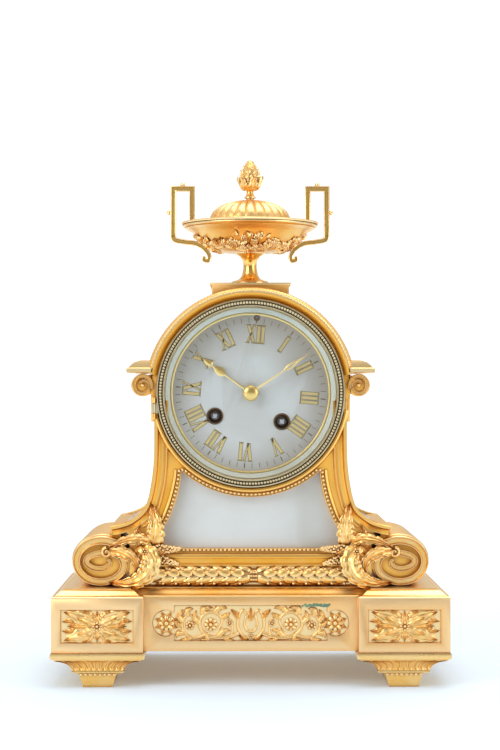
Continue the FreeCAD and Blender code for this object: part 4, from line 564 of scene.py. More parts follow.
def cast_gilding():
    """Mercury gilding on cast bronze: clouded, pale where rubbed, with painted shade in its hollows, finely
    grained.
    """
    tree, given, result = shader_group(
        "Cast Gilding",
        [("Gold", "NodeSocketColor", (0.9, 0.6, 0.2, 1)), ("Rubbed", "NodeSocketColor", (1.0, 0.8, 0.5, 1)),
         ("Hollow", "NodeSocketColor", (0.5, 0.2, 0.02, 1)), ("Hollow Strength", "NodeSocketFloat", 0.8),
         ("Hollow Reach", "NodeSocketFloat", 0.004), ("Cloud Scale", "NodeSocketFloat", 45.0),
         ("Grain Scale", "NodeSocketFloat", 900.0), ("Smoothness", "NodeSocketFloat", 0.3),
         ("Unevenness", "NodeSocketFloat", 0.12)],
        [("Color", "NodeSocketColor"), ("Roughness", "NodeSocketFloat"), ("Height", "NodeSocketFloat")],
    )
    links = tree.links
    place = tree.nodes.new("ShaderNodeTexCoord").outputs["Object"]
    cloud = noise(tree, given.outputs["Cloud Scale"], 4.0, 0.6, place)
    grain = noise(tree, given.outputs["Grain Scale"], 2.0, 0.5, place)
    # Painted shade: ambient occlusion mixes the gold towards the darker shade colour in hollows and creases,
    # where shade falls.
    shade = tree.nodes.new("ShaderNodeAmbientOcclusion")
    shade.samples = 6
    links.new(given.outputs["Hollow Reach"], shade.inputs["Distance"])
    hollow = remap(tree, shade.outputs["AO"], 0.85, 0.25)
    hollow = maths(tree, "MULTIPLY", hollow, given.outputs["Hollow Strength"])
    edge = remap(tree, tree.nodes.new("ShaderNodeNewGeometry").outputs["Pointiness"], 0.505, 0.56)
    rubbed = maths(tree, "MAXIMUM", remap(tree, cloud.outputs["Fac"], 0.42, 0.72, 0.0, 0.75), edge)
    colour = mixed(tree, rubbed, given.outputs["Gold"], given.outputs["Rubbed"])
    colour = mixed(tree, hollow, colour, given.outputs["Hollow"])
    links.new(colour, result.inputs["Color"])
    spread = maths(tree, "MULTIPLY", maths(tree, "SUBTRACT", cloud.outputs["Fac"], 0.5),
                   given.outputs["Unevenness"])
    fine = maths(tree, "MULTIPLY", maths(tree, "SUBTRACT", grain.outputs["Fac"], 0.5),
                 given.outputs["Unevenness"])
    rough = maths(tree, "ADD", given.outputs["Smoothness"], maths(tree, "ADD", spread, fine))
    rough = maths(tree, "ADD", rough, maths(tree, "MULTIPLY", hollow, 0.12))
    links.new(rough, result.inputs["Roughness"])
    links.new(grain.outputs["Fac"], result.inputs["Height"])
    return tree


def onyx_clouding():
    """White onyx: milky clouds, soft bands that bend through it, and a few faint darker veins."""
    tree, given, result = shader_group(
        "Onyx Clouding",
        [("Milk", "NodeSocketColor", (0.7, 0.72, 0.7, 1)),
         ("Smoke", "NodeSocketColor", (0.5, 0.5, 0.45, 1)),
         ("Vein", "NodeSocketColor", (0.4, 0.4, 0.33, 1)), ("Cloud Scale", "NodeSocketFloat", 14.0),
         ("Vein Amount", "NodeSocketFloat", 0.3), ("Polish", "NodeSocketFloat", 0.16)],
        [("Color", "NodeSocketColor"), ("Roughness", "NodeSocketFloat"), ("Height", "NodeSocketFloat")],
    )
    place = tree.nodes.new("ShaderNodeTexCoord").outputs["Object"]
    cloud = noise(tree, given.outputs["Cloud Scale"], 5.0, 0.55, place)
    bands = tree.nodes.new("ShaderNodeTexWave")
    bands.wave_type = "BANDS"
    bands.bands_direction = "DIAGONAL"
    bands.inputs["Scale"].default_value = 3.5
    bands.inputs["Distortion"].default_value = 9.0
    bands.inputs["Detail"].default_value = 3.0
    bands.inputs["Detail Scale"].default_value = 1.6
    tree.links.new(place, bands.inputs["Vector"])
    smoke = maths(tree, "ADD", remap(tree, cloud.outputs["Fac"], 0.35, 0.75, 0.0, 0.65),
                  maths(tree, "MULTIPLY", bands.outputs["Fac"], 0.3))
    colour = mixed(tree, smoke, given.outputs["Milk"], given.outputs["Smoke"])
    streak = remap(tree, bands.outputs["Fac"], 0.93, 1.0)
    streak = maths(tree, "MULTIPLY", streak, given.outputs["Vein Amount"])
    colour = mixed(tree, streak, colour, given.outputs["Vein"])
    tree.links.new(colour, result.inputs["Color"])
    fine = noise(tree, 260.0, 2.0, 0.5, place)
    rough = maths(tree, "ADD", given.outputs["Polish"], remap(tree, fine.outputs["Fac"], 0.3, 0.7, -0.03,
                                                              0.05))
    tree.links.new(rough, result.inputs["Roughness"])
    tree.links.new(fine.outputs["Fac"], result.inputs["Height"])
    return tree


def new_material(name, metallic, group_name, build, values, bump, coat=0.0, height_scale=0.0001):
    """A Principled material whose colour, roughness and bump come from a shared group with its own values."""
    material = bpy.data.materials.new(name)
    material.use_nodes = True
    tree = material.node_tree
    surface = tree.nodes["Principled BSDF"]
    surface.inputs["Metallic"].default_value = metallic
    surface.inputs["Coat Weight"].default_value = coat
    group = tree.nodes.new("ShaderNodeGroup")
    group.node_tree = shared_tree(group_name, build)
    for label, value in values.items():
        group.inputs[label].default_value = value
    tree.links.new(group.outputs["Color"], surface.inputs["Base Color"])
    tree.links.new(group.outputs["Roughness"], surface.inputs["Roughness"])
    if bump:
        relief = tree.nodes.new("ShaderNodeBump")
        relief.inputs["Strength"].default_value = bump
        relief.inputs["Distance"].default_value = height_scale
        tree.links.new(group.outputs["Height"], relief.inputs["Height"])
        tree.links.new(relief.outputs["Normal"], surface.inputs["Normal"])
    return material


def gilt(name, gold, rubbed, hollow, smoothness, unevenness, bump, strength=0.8, reach=0.004, cloud=45.0,
         grain=900.0):
    # hollow, strength and reach set the painted shade that fills the hollows.
    values = {"Gold": (*gold, 1), "Rubbed": (*rubbed, 1), "Hollow": (*hollow, 1),
              "Hollow Strength": strength,
              "Hollow Reach": reach, "Cloud Scale": cloud, "Grain Scale": grain, "Smoothness": smoothness,
              "Unevenness": unevenness}
    return new_material(name, 1.0, "Cast Gilding", cast_gilding, values, bump)


def onyx(name, milk, smoke, vein, cloud, veins, polish):
    values = {"Milk": (*milk, 1), "Smoke": (*smoke, 1), "Vein": (*vein, 1), "Cloud Scale": cloud,
              "Vein Amount": veins, "Polish": polish}
    return new_material(name, 0.0, "Onyx Clouding", onyx_clouding, values, 0.05, coat=0.25)


def clear_material(name):
    """The bezel's glass: nearly invisible, with a mirror gloss."""
    material = bpy.data.materials.new(name)
    material.use_nodes = True
    tree = material.node_tree
    surface = tree.nodes["Principled BSDF"]
    surface.inputs["Base Color"].default_value = (0.03, 0.035, 0.03, 1)
    surface.inputs["Alpha"].default_value = 0.05
    place = tree.nodes.new("ShaderNodeTexCoord").outputs["Object"]
    film = noise(tree, 30.0, 2.0, 0.5, place)
    tree.links.new(remap(tree, film.outputs["Fac"], 0.3, 0.8, 0.02, 0.06), surface.inputs["Roughness"])
    return material


FINISHES = {}


def finish(name):
    """One of the clock's finishes, made the first time it is asked for."""
    if name not in FINISHES:
        FINISHES[name] = make_finish(name)
    return FINISHES[name]


# Each gilt or bare metal finish: its gold, rubbed and hollow colours, the hollow one a painted shade, each
# either a colour or the name of one of ClockFinish's, then smoothness, unevenness and bump, and then the
# painted shade's hollow strength and hollow reach, cloud scale and grain scale where they differ from
# gilt()'s own.
METALS = {
    "satin_gilt": ("gilt", "rubbed", "hollow", 0.33, 0.16, 0.25, 0.7, 0.004, 30.0, 700.0),
    "burnished_gilt": ("gilt", "rubbed", "hollow", 0.19, 0.10, 0.10, 0.75, 0.005, 40.0, 1200.0),
    "chased_gilt": ("gilt", "rubbed", "hollow", 0.30, 0.14, 0.35, 1.0, 0.0025, 70.0, 1300.0),
    "aged_gilt": ("aged", (0.62, 0.52, 0.33), (0.13, 0.09, 0.04), 0.36, 0.2, 0.5, 1.0, 0.0012, 240.0),
    "deep_gilt": ((0.91, 0.43, 0.055), (0.94, 0.56, 0.16), (0.42, 0.14, 0.01), 0.36, 0.14, 0.3, 0.8, 0.004,
                  36.0, 800.0),
    # A brighter, more saturated copy of the gilt for the concave cove: painted light standing in for the
    # light the cove catches.
    "cove_gilt": ((1.0, 0.50, 0.05), (1.0, 0.62, 0.14), (0.6, 0.2, 0.01), 0.62, 0.12, 0.3, 0.25, 0.003,
                  40.0, 800.0),
    # Darker gilt for the handles' sunk channels: a rougher matt finish, its dark colour painted shade in the
    # channels.
    "dull_gilt": ((0.48, 0.27, 0.05), (0.66, 0.42, 0.12), (0.16, 0.08, 0.01), 0.4, 0.14, 0.3, 0.6, 0.002,
                  90.0, 900.0),
    "plinth_gilt": ((0.94, 0.535, 0.20), (0.95, 0.64, 0.32), "hollow", 0.44, 0.14, 0.35, 0.7, 0.004, 26.0,
                    900.0),
    "chapter_gilt": ((0.98, 0.70, 0.20), (1.0, 0.80, 0.36), (0.5, 0.3, 0.05), 0.42, 0.1, 0.15, 0.3, 0.001,
                     200.0),
    "relief_gilt": ((0.95, 0.58, 0.19), "rubbed", "hollow", 0.33, 0.14, 0.3, 0.85, 0.0016, 90.0, 1500.0),
    "hand_gilt": ((0.90, 0.62, 0.19), (0.97, 0.78, 0.38), (0.3, 0.17, 0.04), 0.3, 0.1, 0.1, 0.6, 0.001,
                  200.0),
    # Near-black finish of the winding collars: the bushes' bronze, and painted shade down the winding holes.
    "dark_bronze": ((0.07, 0.035, 0.018), (0.22, 0.13, 0.07), (0.01, 0.006, 0.004), 0.42, 0.2, 0.3, 0.8,
                    0.002, 300.0),
    "numeral_gilt": ((0.60, 0.42, 0.12), (0.86, 0.68, 0.32), (0.16, 0.10, 0.03), 0.33, 0.2, 0.3, 0.6,
                     0.001, 160.0),
    "dark_line": ((0.09, 0.065, 0.04), (0.25, 0.2, 0.12), (0.02, 0.015, 0.01), 0.5, 0.2, 0.2, 0.5, 0.001,
                  400.0),
    "brass": ((0.76, 0.50, 0.16), (0.86, 0.66, 0.32), (0.2, 0.1, 0.03), 0.28, 0.2, 0.2, 0.7),
    "bell_metal": ((0.66, 0.46, 0.22), (0.8, 0.64, 0.4), (0.16, 0.09, 0.04), 0.24, 0.16, 0.15, 0.7),
    "steel": ((0.42, 0.42, 0.43), (0.62, 0.62, 0.63), (0.08, 0.07, 0.06), 0.26, 0.2, 0.2, 0.7),
    "blued_steel": ((0.08, 0.11, 0.25), (0.2, 0.22, 0.34), (0.02, 0.02, 0.04), 0.25, 0.2, 0.15, 0.6),
}


def make_finish(name):
    colours = bpy.context.scene.clock_finish
    milk, smoke = tuple(colours.milk), tuple(colours.smoke)
    if name in METALS:
        shades = [tuple(getattr(colours, shade)) if isinstance(shade, str) else shade
                  for shade in METALS[name][:3]]
        return gilt(name, *shades, *METALS[name][3:])
    if name == "verdigris":
        return onyx(name, (0.10, 0.27, 0.19), (0.24, 0.30, 0.13), (0.05, 0.14, 0.10), 400.0, 0.5, 0.7)
    if name == "white_onyx":
        return onyx(name, milk, smoke, (0.45, 0.43, 0.34), 16.0, 0.25, 0.15)
    if name == "dial_onyx":
        return dial_onyx(name, milk, smoke)
    if name == "sight_onyx":
        return onyx(name, (0.78, 0.82, 0.74), (0.62, 0.66, 0.57), (0.45, 0.47, 0.38), 40.0, 0.15, 0.22)
    if name == "clear_glass":
        return clear_material(name)
    raise RuntimeError(f"there is no finish called {name}")


def gild(piece, coat, *nodes):
    """Dresses a finished piece of the case in one of the metal finishes."""
    return dress(piece, "case", "gilt_bronze", finish(coat), *nodes)


def strew(name, pattern, places, coat):
    """Copies of a shape on the case at the given places, in one of the metal finishes."""
    return gild(set_on_points(name, pattern, places, finish(coat)), coat)


def dial_onyx(name, milk, smoke):
    """The dial's onyx, clear milk in the middle, with painted shade that turns it grey beige towards the rim.
    """
    material = onyx(name, milk, smoke, (0.45, 0.43, 0.34), 16.0, 0.1, 0.14)
    tree = material.node_tree
    surface = tree.nodes["Principled BSDF"]
    group = next(node for node in tree.nodes if node.type == "GROUP")
    place = tree.nodes.new("ShaderNodeTexCoord").outputs["Object"]
    centred = tree.nodes.new("ShaderNodeMapping")
    centred.vector_type = "POINT"
    centred.inputs["Location"].default_value = (0.004 / 0.06, 0.0, -(DIAL_Z - 6.0) * MM / 0.06)
    centred.inputs["Scale"].default_value = (1 / 0.06, 0.0, 1 / 0.06)
    tree.links.new(place, centred.inputs["Vector"])
    ball_shade = tree.nodes.new("ShaderNodeTexGradient")
    ball_shade.gradient_type = "SPHERICAL"
    tree.links.new(centred.outputs["Vector"], ball_shade.inputs["Vector"])
    # Painted shade: grey beige towards the rim, lightest a little left of and below the dial's middle.
    rim = remap(tree, ball_shade.outputs["Fac"], 0.55, 0.05, 0.0, 0.85)
    colour = mixed(tree, rim, group.outputs["Color"], (0.43, 0.38, 0.31, 1.0))
    tree.links.new(colour, surface.inputs["Base Color"])
    return material


# ---------------------------------------------------------------- pieces taken over from the frame
def softened(node, name, width=0.3, steps=2, sharp_degrees=30.0):
    """A copy of a CAD node with its flat faces made whole and its sharp edges rounded."""
    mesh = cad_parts[node].data.copy()
    mesh.name = name
    work = bmesh.new()
    work.from_mesh(mesh)
    bmesh.ops.remove_doubles(work, verts=work.verts, dist=2e-6)
    bmesh.ops.dissolve_limit(work, angle_limit=math.radians(0.6), verts=work.verts, edges=work.edges)
    for face in work.faces:
        face.smooth = True
    work.to_mesh(mesh)
    work.free()
    piece = bpy.data.objects.new(name, mesh)
    bpy.context.scene.collection.objects.link(piece)
    rounding = piece.modifiers.new("rounding", "BEVEL")
    rounding.width = width * MM
    rounding.segments = steps
    rounding.limit_method = "ANGLE"
    rounding.angle_limit = math.radians(sharp_degrees)
    rounding.harden_normals = False
    shown = piece.evaluated_get(bpy.context.evaluated_depsgraph_get())
    smooth = bpy.data.meshes.new_from_object(shown)
    piece.modifiers.clear()
    piece.data = smooth
    smooth.name = name
    smooth.set_sharp_from_angle(angle=math.radians(48.0))
    return piece


def recoat(node, material):
    """Gives a CAD node that stays as it is a better material in its slots."""
    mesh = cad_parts[node].data
    if not mesh.materials:
        mesh.materials.append(material)
    for index in range(len(mesh.materials)):
        mesh.materials[index] = material


# ---------------------------------------------------------------- what a user can change
def tone(name, description, default):
    return bpy.props.FloatVectorProperty(name=name, description=description, subtype="COLOR", size=3,
                                         default=default, min=0.0, max=1.0)


def away_from(name, description, default, least=-100.0):
    return bpy.props.FloatProperty(name=name, description=description, subtype="DISTANCE", unit="LENGTH",
                                   default=default, min=least)


class ClockFinish(bpy.types.PropertyGroup):
    """Colours of the clock's finishes."""

    gilt: tone("Gilt", "Gold of the mercury gilding", (0.92, 0.53, 0.145))
    rubbed: tone("Rubbed gilt", "Paler gold where the gilding is rubbed", (0.96, 0.69, 0.34))
    # Painted shade laid into the gilding's hollows.
    hollow: tone("Painted shade in hollows", "Painted shade of the gilding in hollows", (0.46, 0.17, 0.02))
    aged: tone("Aged gilt", "Tarnished silver gold of the bezel's beads", (0.46, 0.36, 0.19))
    milk: tone("Onyx milk", "Clear part of the onyx", (0.72, 0.74, 0.73))
    smoke: tone("Onyx smoke", "Clouded part of the onyx", (0.57, 0.59, 0.56))


class ClockOrnament(bpy.types.PropertyGroup):
    """Sizes of the cast ornament."""

    panel_bead: bpy.props.FloatProperty(
        name="Panel bead", description="Radius of the beads round the onyx panel, mm", default=1.1, min=0.2)
    panel_bead_pitch: bpy.props.FloatProperty(
        name="Panel bead pitch", description="Distance between the beads round the panel, mm",
        default=2.75, min=0.5)
    bezel_bead: bpy.props.FloatProperty(
        name="Bezel bead", description="Radius of the beads on the bezel, mm", default=1.05, min=0.2)
    bezel_bead_pitch: bpy.props.FloatProperty(
        name="Bezel bead pitch", description="Distance between the beads on the bezel, mm",
        default=1.95, min=0.5)
    laurel_pitch: bpy.props.FloatProperty(
        name="Laurel pitch", description="Distance between the leaves of the laurel bar, mm",
        default=8.4, min=1.0)
    foot_flutes: bpy.props.IntProperty(
        name="Foot flutes", description="Flutes on each face of a foot", default=9, min=3)
    cone_scales: bpy.props.IntProperty(
        name="Cone scales", description="Scales on the finial's cone", default=64, min=8)
    seed: bpy.props.IntProperty(
        name="Seed", description="Start of the random choices in the garlands", default=7, min=0)


class ClockStage(bpy.types.PropertyGroup):
    """Camera and lights."""

    distance: away_from("Camera distance", "From the camera to the clock's middle", 1.202, 0.2)
    aside: away_from("Camera aside", "How far the camera stands to the left", 0.010)
    eye_height: away_from("Eye height", "Height of the camera above the table", 0.197, 0.0)
    lens: bpy.props.FloatProperty(
        name="Lens", description="Focal length of the camera, mm", default=83.6, min=10.0)
    key_power: bpy.props.FloatProperty(
        name="Key light", description="Power of the large soft light on the left", subtype="POWER",
        default=6.8, min=0.0)
    fill_power: bpy.props.FloatProperty(
        name="Fill light", description="Power of the soft light on the right", subtype="POWER",
        default=3.4, min=0.0)
    top_power: bpy.props.FloatProperty(
        name="Top light", description="Power of the light overhead", subtype="POWER", default=5.2, min=0.0)


def soft_light(name, place, target, size, power, tint=(1.0, 1.0, 1.0)):
    light = bpy.data.lights.new(name, "AREA")
    light.shape = "SQUARE"
    light.size = size
    light.energy = power
    light.color = tint
    holder = bpy.data.objects.new(name, light)
    bpy.context.scene.collection.objects.link(holder)
    holder.location = place
    holder.rotation_euler = (Vector(target) - Vector(place)).to_track_quat("-Z", "Y").to_euler()
    return holder


def studio_world():
    """White paper all round as the lens sees it, and for reflections a room darker behind the lens."""
    world = bpy.data.worlds.new("Studio")
    bpy.context.scene.world = world
    world.use_nodes = True
    tree = world.node_tree
    tree.nodes.clear()
    place = tree.nodes.new("ShaderNodeTexCoord").outputs["Generated"]
    parts = tree.nodes.new("ShaderNodeSeparateXYZ")
    tree.links.new(place, parts.inputs["Vector"])
    height = remap(tree, parts.outputs["Z"], -0.25, 0.75, 0.45, 0.95)
    front = remap(tree, parts.outputs["Y"], -1.0, 0.1, 0.42, 1.0)
    strength = maths(tree, "MULTIPLY", height, front)
    room = tree.nodes.new("ShaderNodeBackground")
    room.inputs["Color"].default_value = (1.0, 0.985, 0.96, 1)
    tree.links.new(strength, room.inputs["Strength"])
    paper = tree.nodes.new("ShaderNodeBackground")
    paper.inputs["Color"].default_value = (1, 1, 1, 1)
    paper.inputs["Strength"].default_value = 1.1
    seen = tree.nodes.new("ShaderNodeLightPath")
    both = tree.nodes.new("ShaderNodeMixShader")
    tree.links.new(seen.outputs["Is Camera Ray"], both.inputs["Fac"])
    tree.links.new(room.outputs["Background"], both.inputs[1])
    tree.links.new(paper.outputs["Background"], both.inputs[2])
    out = tree.nodes.new("ShaderNodeOutputWorld")
    tree.links.new(both.outputs["Shader"], out.inputs["Surface"])


def paper_floor():
    mesh = bpy.data.meshes.new("floor")
    reach = 30.0
    ring = [(reach * math.cos(math.tau * step / 64), reach * math.sin(math.tau * step / 64), 0)
            for step in range(64)]
    mesh.from_pydata(ring, [], [tuple(range(64))])
    floor = bpy.data.objects.new("floor", mesh)
    bpy.context.scene.collection.objects.link(floor)
    paper = bpy.data.materials.new("white_paper")
    paper.use_nodes = True
    tree = paper.node_tree
    surface = tree.nodes["Principled BSDF"]
    surface.inputs["Specular IOR Level"].default_value = 0.2
    place = tree.nodes.new("ShaderNodeTexCoord").outputs["Object"]
    tooth = noise(tree, 60.0, 3.0, 0.5, place)
    # Painted shade colour: the bluish tint cancels the gold's warm bounce light in the floor's shadow; lit
    # paper still comes out white.
    shade = mixed(tree, tooth.outputs["Fac"], (0.70, 0.84, 1.0, 1), (0.72, 0.86, 1.0, 1))
    tree.links.new(shade, surface.inputs["Base Color"])
    tree.links.new(remap(tree, tooth.outputs["Fac"], 0.0, 1.0, 0.55, 0.7), surface.inputs["Roughness"])
    # Painted light: the floor glows, less near the clock so its shadow stays and more further off so the
    # paper reads white.
    away = tree.nodes.new("ShaderNodeVectorMath")
    away.operation = "LENGTH"
    tree.links.new(place, away.inputs[0])
    glow = remap(tree, away.outputs["Value"], 0.15, 1.2, 0.12, 0.5)
    surface.inputs["Emission Color"].default_value = (1, 1, 1, 1)
    tree.links.new(glow, surface.inputs["Emission Strength"])
    mesh.materials.append(paper)


class CLOCK_OT_stage(bpy.types.Operator):
    """Sets the camera, the soft lights, the white room and the floor"""

    bl_idname = "clock.stage"
    bl_label = "Stage"

    def execute(self, context):
        stage = context.scene.clock_stage
        camera = bpy.data.cameras.new("camera")
        camera.lens = stage.lens
        camera.sensor_width = 36.0
        camera.shift_y = 0.012
        holder = bpy.data.objects.new("camera", camera)
        context.scene.collection.objects.link(holder)
        holder.location = (-stage.aside, -stage.distance, stage.eye_height)
        turn = -math.atan2(stage.aside, stage.distance)
        holder.rotation_euler = (math.radians(90), 0, turn)
        context.scene.camera = holder
        context.scene.view_settings.view_transform = "Standard"
        middle = (0, 0, 0.17)
        soft_light("key", (-0.9, -0.9, 0.75), middle, 0.8, stage.key_power, (1.0, 0.99, 0.97))
        soft_light("fill", (1.05, -0.6, 0.45), middle, 0.7, stage.fill_power)
        soft_light("top", (0.1, 0.05, 1.2), middle, 0.9, stage.top_power)
        studio_world()
        paper_floor()
        return {"FINISHED"}


# ---------------------------------------------------------------- frame pieces with their finishes
RECOATED = {
    "brass": ("front_plate", "back_plate", "pillars", "bezel_seat", "going_barrel", "strike_barrel",
        "going_second_wheel", "centre_wheel", "third_wheel", "escape_wheel", "strike_second_wheel",
        "count_wheel", "pin_wheel", "fly", "minute_wheel", "hour_wheel", "suspension_cock",
        "pendulum_bob", "pendulum_rod"),
    "steel": ("cannon_pinion", "bell_stand", "going_winding_arbor", "strike_winding_arbor",
        "going_click", "strike_click", "escape_anchor", "hammer", "rate_arbor", "case_fasteners"),
    "bell_metal": ("bell",),
    "blued_steel": ("going_mainspring", "strike_mainspring"),
    "satin_gilt": ("roof", "back_door"),
}


class CLOCK_OT_movement(bpy.types.Operator):
    """Gives the movement, its case fixings and the vault their brass, steel and gilding"""

    bl_idname = "clock.movement"
    bl_label = "Movement"

    def execute(self, context):
        for kind, nodes in RECOATED.items():
            for node in nodes:
                recoat(node, finish(kind))
        return {"FINISHED"}


SOFTENED = (
    ("plinth_body", "plinth_block", "case", "gilt_bronze", "plinth_gilt", 0.45),
    ("front_frame", "front_casting", "case", "gilt_bronze", "deep_gilt", 0.35),
    ("back_frame", "back_casting", "case", "gilt_bronze", "satin_gilt", 0.5),
    ("side_panels", "side_onyx", "case", "onyx", "white_onyx", 0.3),
    ("front_panel", "front_onyx", "case", "onyx", "white_onyx", 0.2),
    ("urn_block", "urn_plinth", "case", "gilt_bronze", "satin_gilt", 0.3),
    ("back_ring", "rear_ring", "case", "gilt_bronze", "satin_gilt", 0.2),
    ("dial", "dial_plate", "case", "dial_onyx", "dial_onyx", 0.25),
    ("glass", "bezel_glass", "bezel", "clear_glass", "clear_glass", 0.3),
)


class CLOCK_OT_casework(bpy.types.Operator):
    """Rounds the edges of the plain castings and stone slabs and finishes them"""

    bl_idname = "clock.casework"
    bl_label = "Casework"

    def execute(self, context):
        for node, name, body, slot, kind, width in SOFTENED:
            dress(softened(node, name, width), body, slot, finish(kind), node)
        return {"FINISHED"}


# ---------------------------------------------------------------- dial, hands and bezel
STROKES = {"I": 2.9, "V": 6.8, "X": 7.0}
NUMERALS = ("I", "II", "III", "IIII", "V", "VI", "VII", "VIII", "IX", "X", "XI", "XII")


def stroke(x0, z0, x1, z1, half):
    """The four corners of a numeral's stroke with level ends."""
    return [(x0 - half, z0), (x0 + half, z0), (x1 + half, z1), (x1 - half, z1)]


def letter_strokes(letter, x, height, stem, hair):
    """Outlines of a letter that starts at x: its stems, then its serifs."""
    wide = STROKES[letter]
    high = height / 2
    serif_half = stem + 0.35
    if letter == "I":
        middle = x + wide / 2
        bars = [stroke(middle, -high, middle, high, stem)]
        feet = [(middle, high), (middle, -high)]
    elif letter == "V":
        left, right, foot = x + 1.3, x + wide - 1.3, x + wide / 2
        bars = [stroke(foot, -high, left, high, stem), stroke(foot, -high, right, high, hair)]
        feet = [(left, high), (right, high)]
    else:
        left, right = x + 1.4, x + wide - 1.4
        bars = [stroke(right, -high, left, high, stem), stroke(left, -high, right, high, hair)]
        feet = [(left, high), (right, high), (left, -high), (right, -high)]
    serifs = [stroke(at, z - 0.28, at, z + 0.28, serif_half) for at, z in feet]
    return bars + serifs


def numeral_shape(text, height, stem, hair, y0, y1):
    """A Roman numeral as raised strokes, upright about its middle."""
    shape = Shape()
    wide = sum(STROKES[letter] for letter in text)
    x = -wide / 2
    for letter in text:
        for outline in letter_strokes(letter, x, height, stem, hair):
            shape.merge(slab(outline, y0, y1))
        x += STROKES[letter]
    return shape


def dial_matrix(clockwise, radius=0.0):
    """Sets a shape drawn upright about the origin at an angle round the dial."""
    turn = Matrix.Rotation(math.radians(clockwise) + DIAL_TURN, 4, "Y")
    return Matrix.Translation((0, 0, DIAL_Z)) @ turn @ Matrix.Translation((0, 0, radius))


def winding_places():
    """The two winding squares as (x, z)."""
    places = []
    for node in ("going_winding_arbor", "strike_winding_arbor"):
        low, high = span(node)
        places.append(((low.x + high.x) / 2, (low.z + high.z) / 2))
    return places


class CLOCK_OT_dial(bpy.types.Operator):
    """Writes the hours and minutes on the dial and lines its holes"""

    bl_idname = "clock.dial"
    bl_label = "Dial"

    def execute(self, context):
        face = DIAL_FACE
        hours, shadows, ticks = Shape(), Shape(), Shape()
        for index, text in enumerate(NUMERALS):
            place = dial_matrix(30 * (index + 1), 39.2)
            hours.merge(numeral_shape(text, 11.2, 0.98, 0.46, face - 0.34, face + 0.1), place)
            # Painted shadow: a larger dark copy of each numeral just behind it.
            shadows.merge(numeral_shape(text, 11.9, 1.24, 0.72, face - 0.12, face + 0.1), place)
        for minute in range(60):
            half = 0.34 if minute % 5 == 0 else 0.17
            mark = slab([(-half, 46.6), (half, 46.6), (half, 49.9), (-half, 49.9)], face - 0.08, face + 0.1)
            ticks.merge(mark, dial_matrix(6 * minute))
        gild(mesh_object("numerals", hours), "numeral_gilt")
        dress(mesh_object("numeral_edges", shadows), "case", "dial_onyx", finish("dark_line"))
        dress(mesh_object("minute_ticks", ticks), "case", "dial_onyx", finish("dark_line"))
        # The collars' lips are the bushes at the dial; their near-black tubes and back rings run into the
        # winding holes as painted shade that keeps the holes dark.
        collars = Shape()
        for place in winding_places():
            lip = [(4.35, face + 1.5), (4.35, face - 0.3), (4.75, face - 0.75), (5.2, face - 0.75),
                   (5.65, face - 0.2), (5.65, face + 0.1), (4.9, face + 0.1), (4.9, face + 8.2),
                   (2.7, face + 8.2), (2.7, face + 7.9), (4.35, face + 7.9)]
            collars.merge(turned(lip, 40, place, along_y=True))
        small = [(1.35, face + 1.2), (1.35, face - 0.2), (1.6, face - 0.4), (2.05, face - 0.2),
                 (2.05, face + 0.1), (1.7, face + 0.1), (1.7, face + 1.2)]
        collars.merge(turned(small, 24, CENTRE_OF_RATE, along_y=True))
        dress(mesh_object("winding_collars", collars), "case", "plain_brass", finish("dark_bronze"))
        sight = [(53.5, face + 0.05), (53.5, face - 0.9), (54.3, face - 1.7), (56.0, face - 3.9),
                 (56.45, face - 3.9), (56.45, face + 0.05)]
        ring = turned(sight, 180, (0, DIAL_Z), along_y=True)
        low = CHAPTER_LOW.y
        chapter = [(51.75, face), (51.75, low + 0.3), (52.1, low), (52.95, low), (53.3, low + 0.3),
                   (53.3, face)]
        line = mesh_object("chapter_line", turned(chapter, 180, (0, DIAL_Z), along_y=True), 50.0)
        gild(line, "chapter_gilt", "dial_ring")
        dress(mesh_object("sight_ring", ring, 40.0), "case", "dial_onyx", finish("sight_onyx"))
        return {"FINISHED"}


RATE_LOW, RATE_HIGH = span("rate_arbor")
CENTRE_OF_RATE = ((RATE_LOW.x + RATE_HIGH.x) / 2, (RATE_LOW.z + RATE_HIGH.z) / 2)


def hand_bar(path, half_width, y0, y1):
    """A thin bar with a crowned front along a path of (across, along) points."""
    points = [Vector((x, y1, z)) for x, z in path]
    high = y1 - y0

    def surface(s, t):
        return high * (0.55 + 0.45 * (1.0 - abs(s) ** 2))

    bar = strap(points, FORWARD, half_width, surface, 6, 0.0)
    return bar


def taper(start, end):
    return lambda t: start + (end - start) * t


def hand_steps(start, end):
    """Points up a hand's middle line."""
    return [(0, start + (end - start) * step / 12) for step in range(13)]


def hour_hand_shape(length, bore, y0, back):
    shape = Shape()
    y1 = y0 + HAND_THICK
    boss = [(bore, back), (bore, y0), (3.9, y0), (4.4, y0 + 0.25), (4.4, y1), (bore + 0.7, y1),
            (bore + 0.7, back)]
    shape.merge(turned(boss, 48, along_y=True))
    shape.merge(hand_bar([(0, 4.3), (0, 21.0)], taper(0.95, 0.6), y0, y1))
    shape.merge(hand_bar(hand_steps(20.0, 30.5),
                         lambda t: 0.5 + 2.5 * math.sin(math.pi * t ** 0.85) ** 1.2, y0, y1))
    shape.merge(hand_bar([(0, 30.0), (0, 32.5)], taper(0.6, 0.6), y0, y1))
    shape.merge(hand_bar(hand_steps(31.8, length), lambda t: 0.18 + 2.0 * math.sin(math.pi * min(1,
            t + 0.22)) ** 2 * (1 - t), y0, y1))
    for side in (-1, 1):
        barb = curve_through([(0, 31.4, 0), (side * 1.9, 32.4, 0), (side * 3.5, 31.4, 0)], 5)
        shape.merge(hand_bar([(p.x, p.y) for p in barb], taper(0.6, 0.2), y0, y1))
    return shape


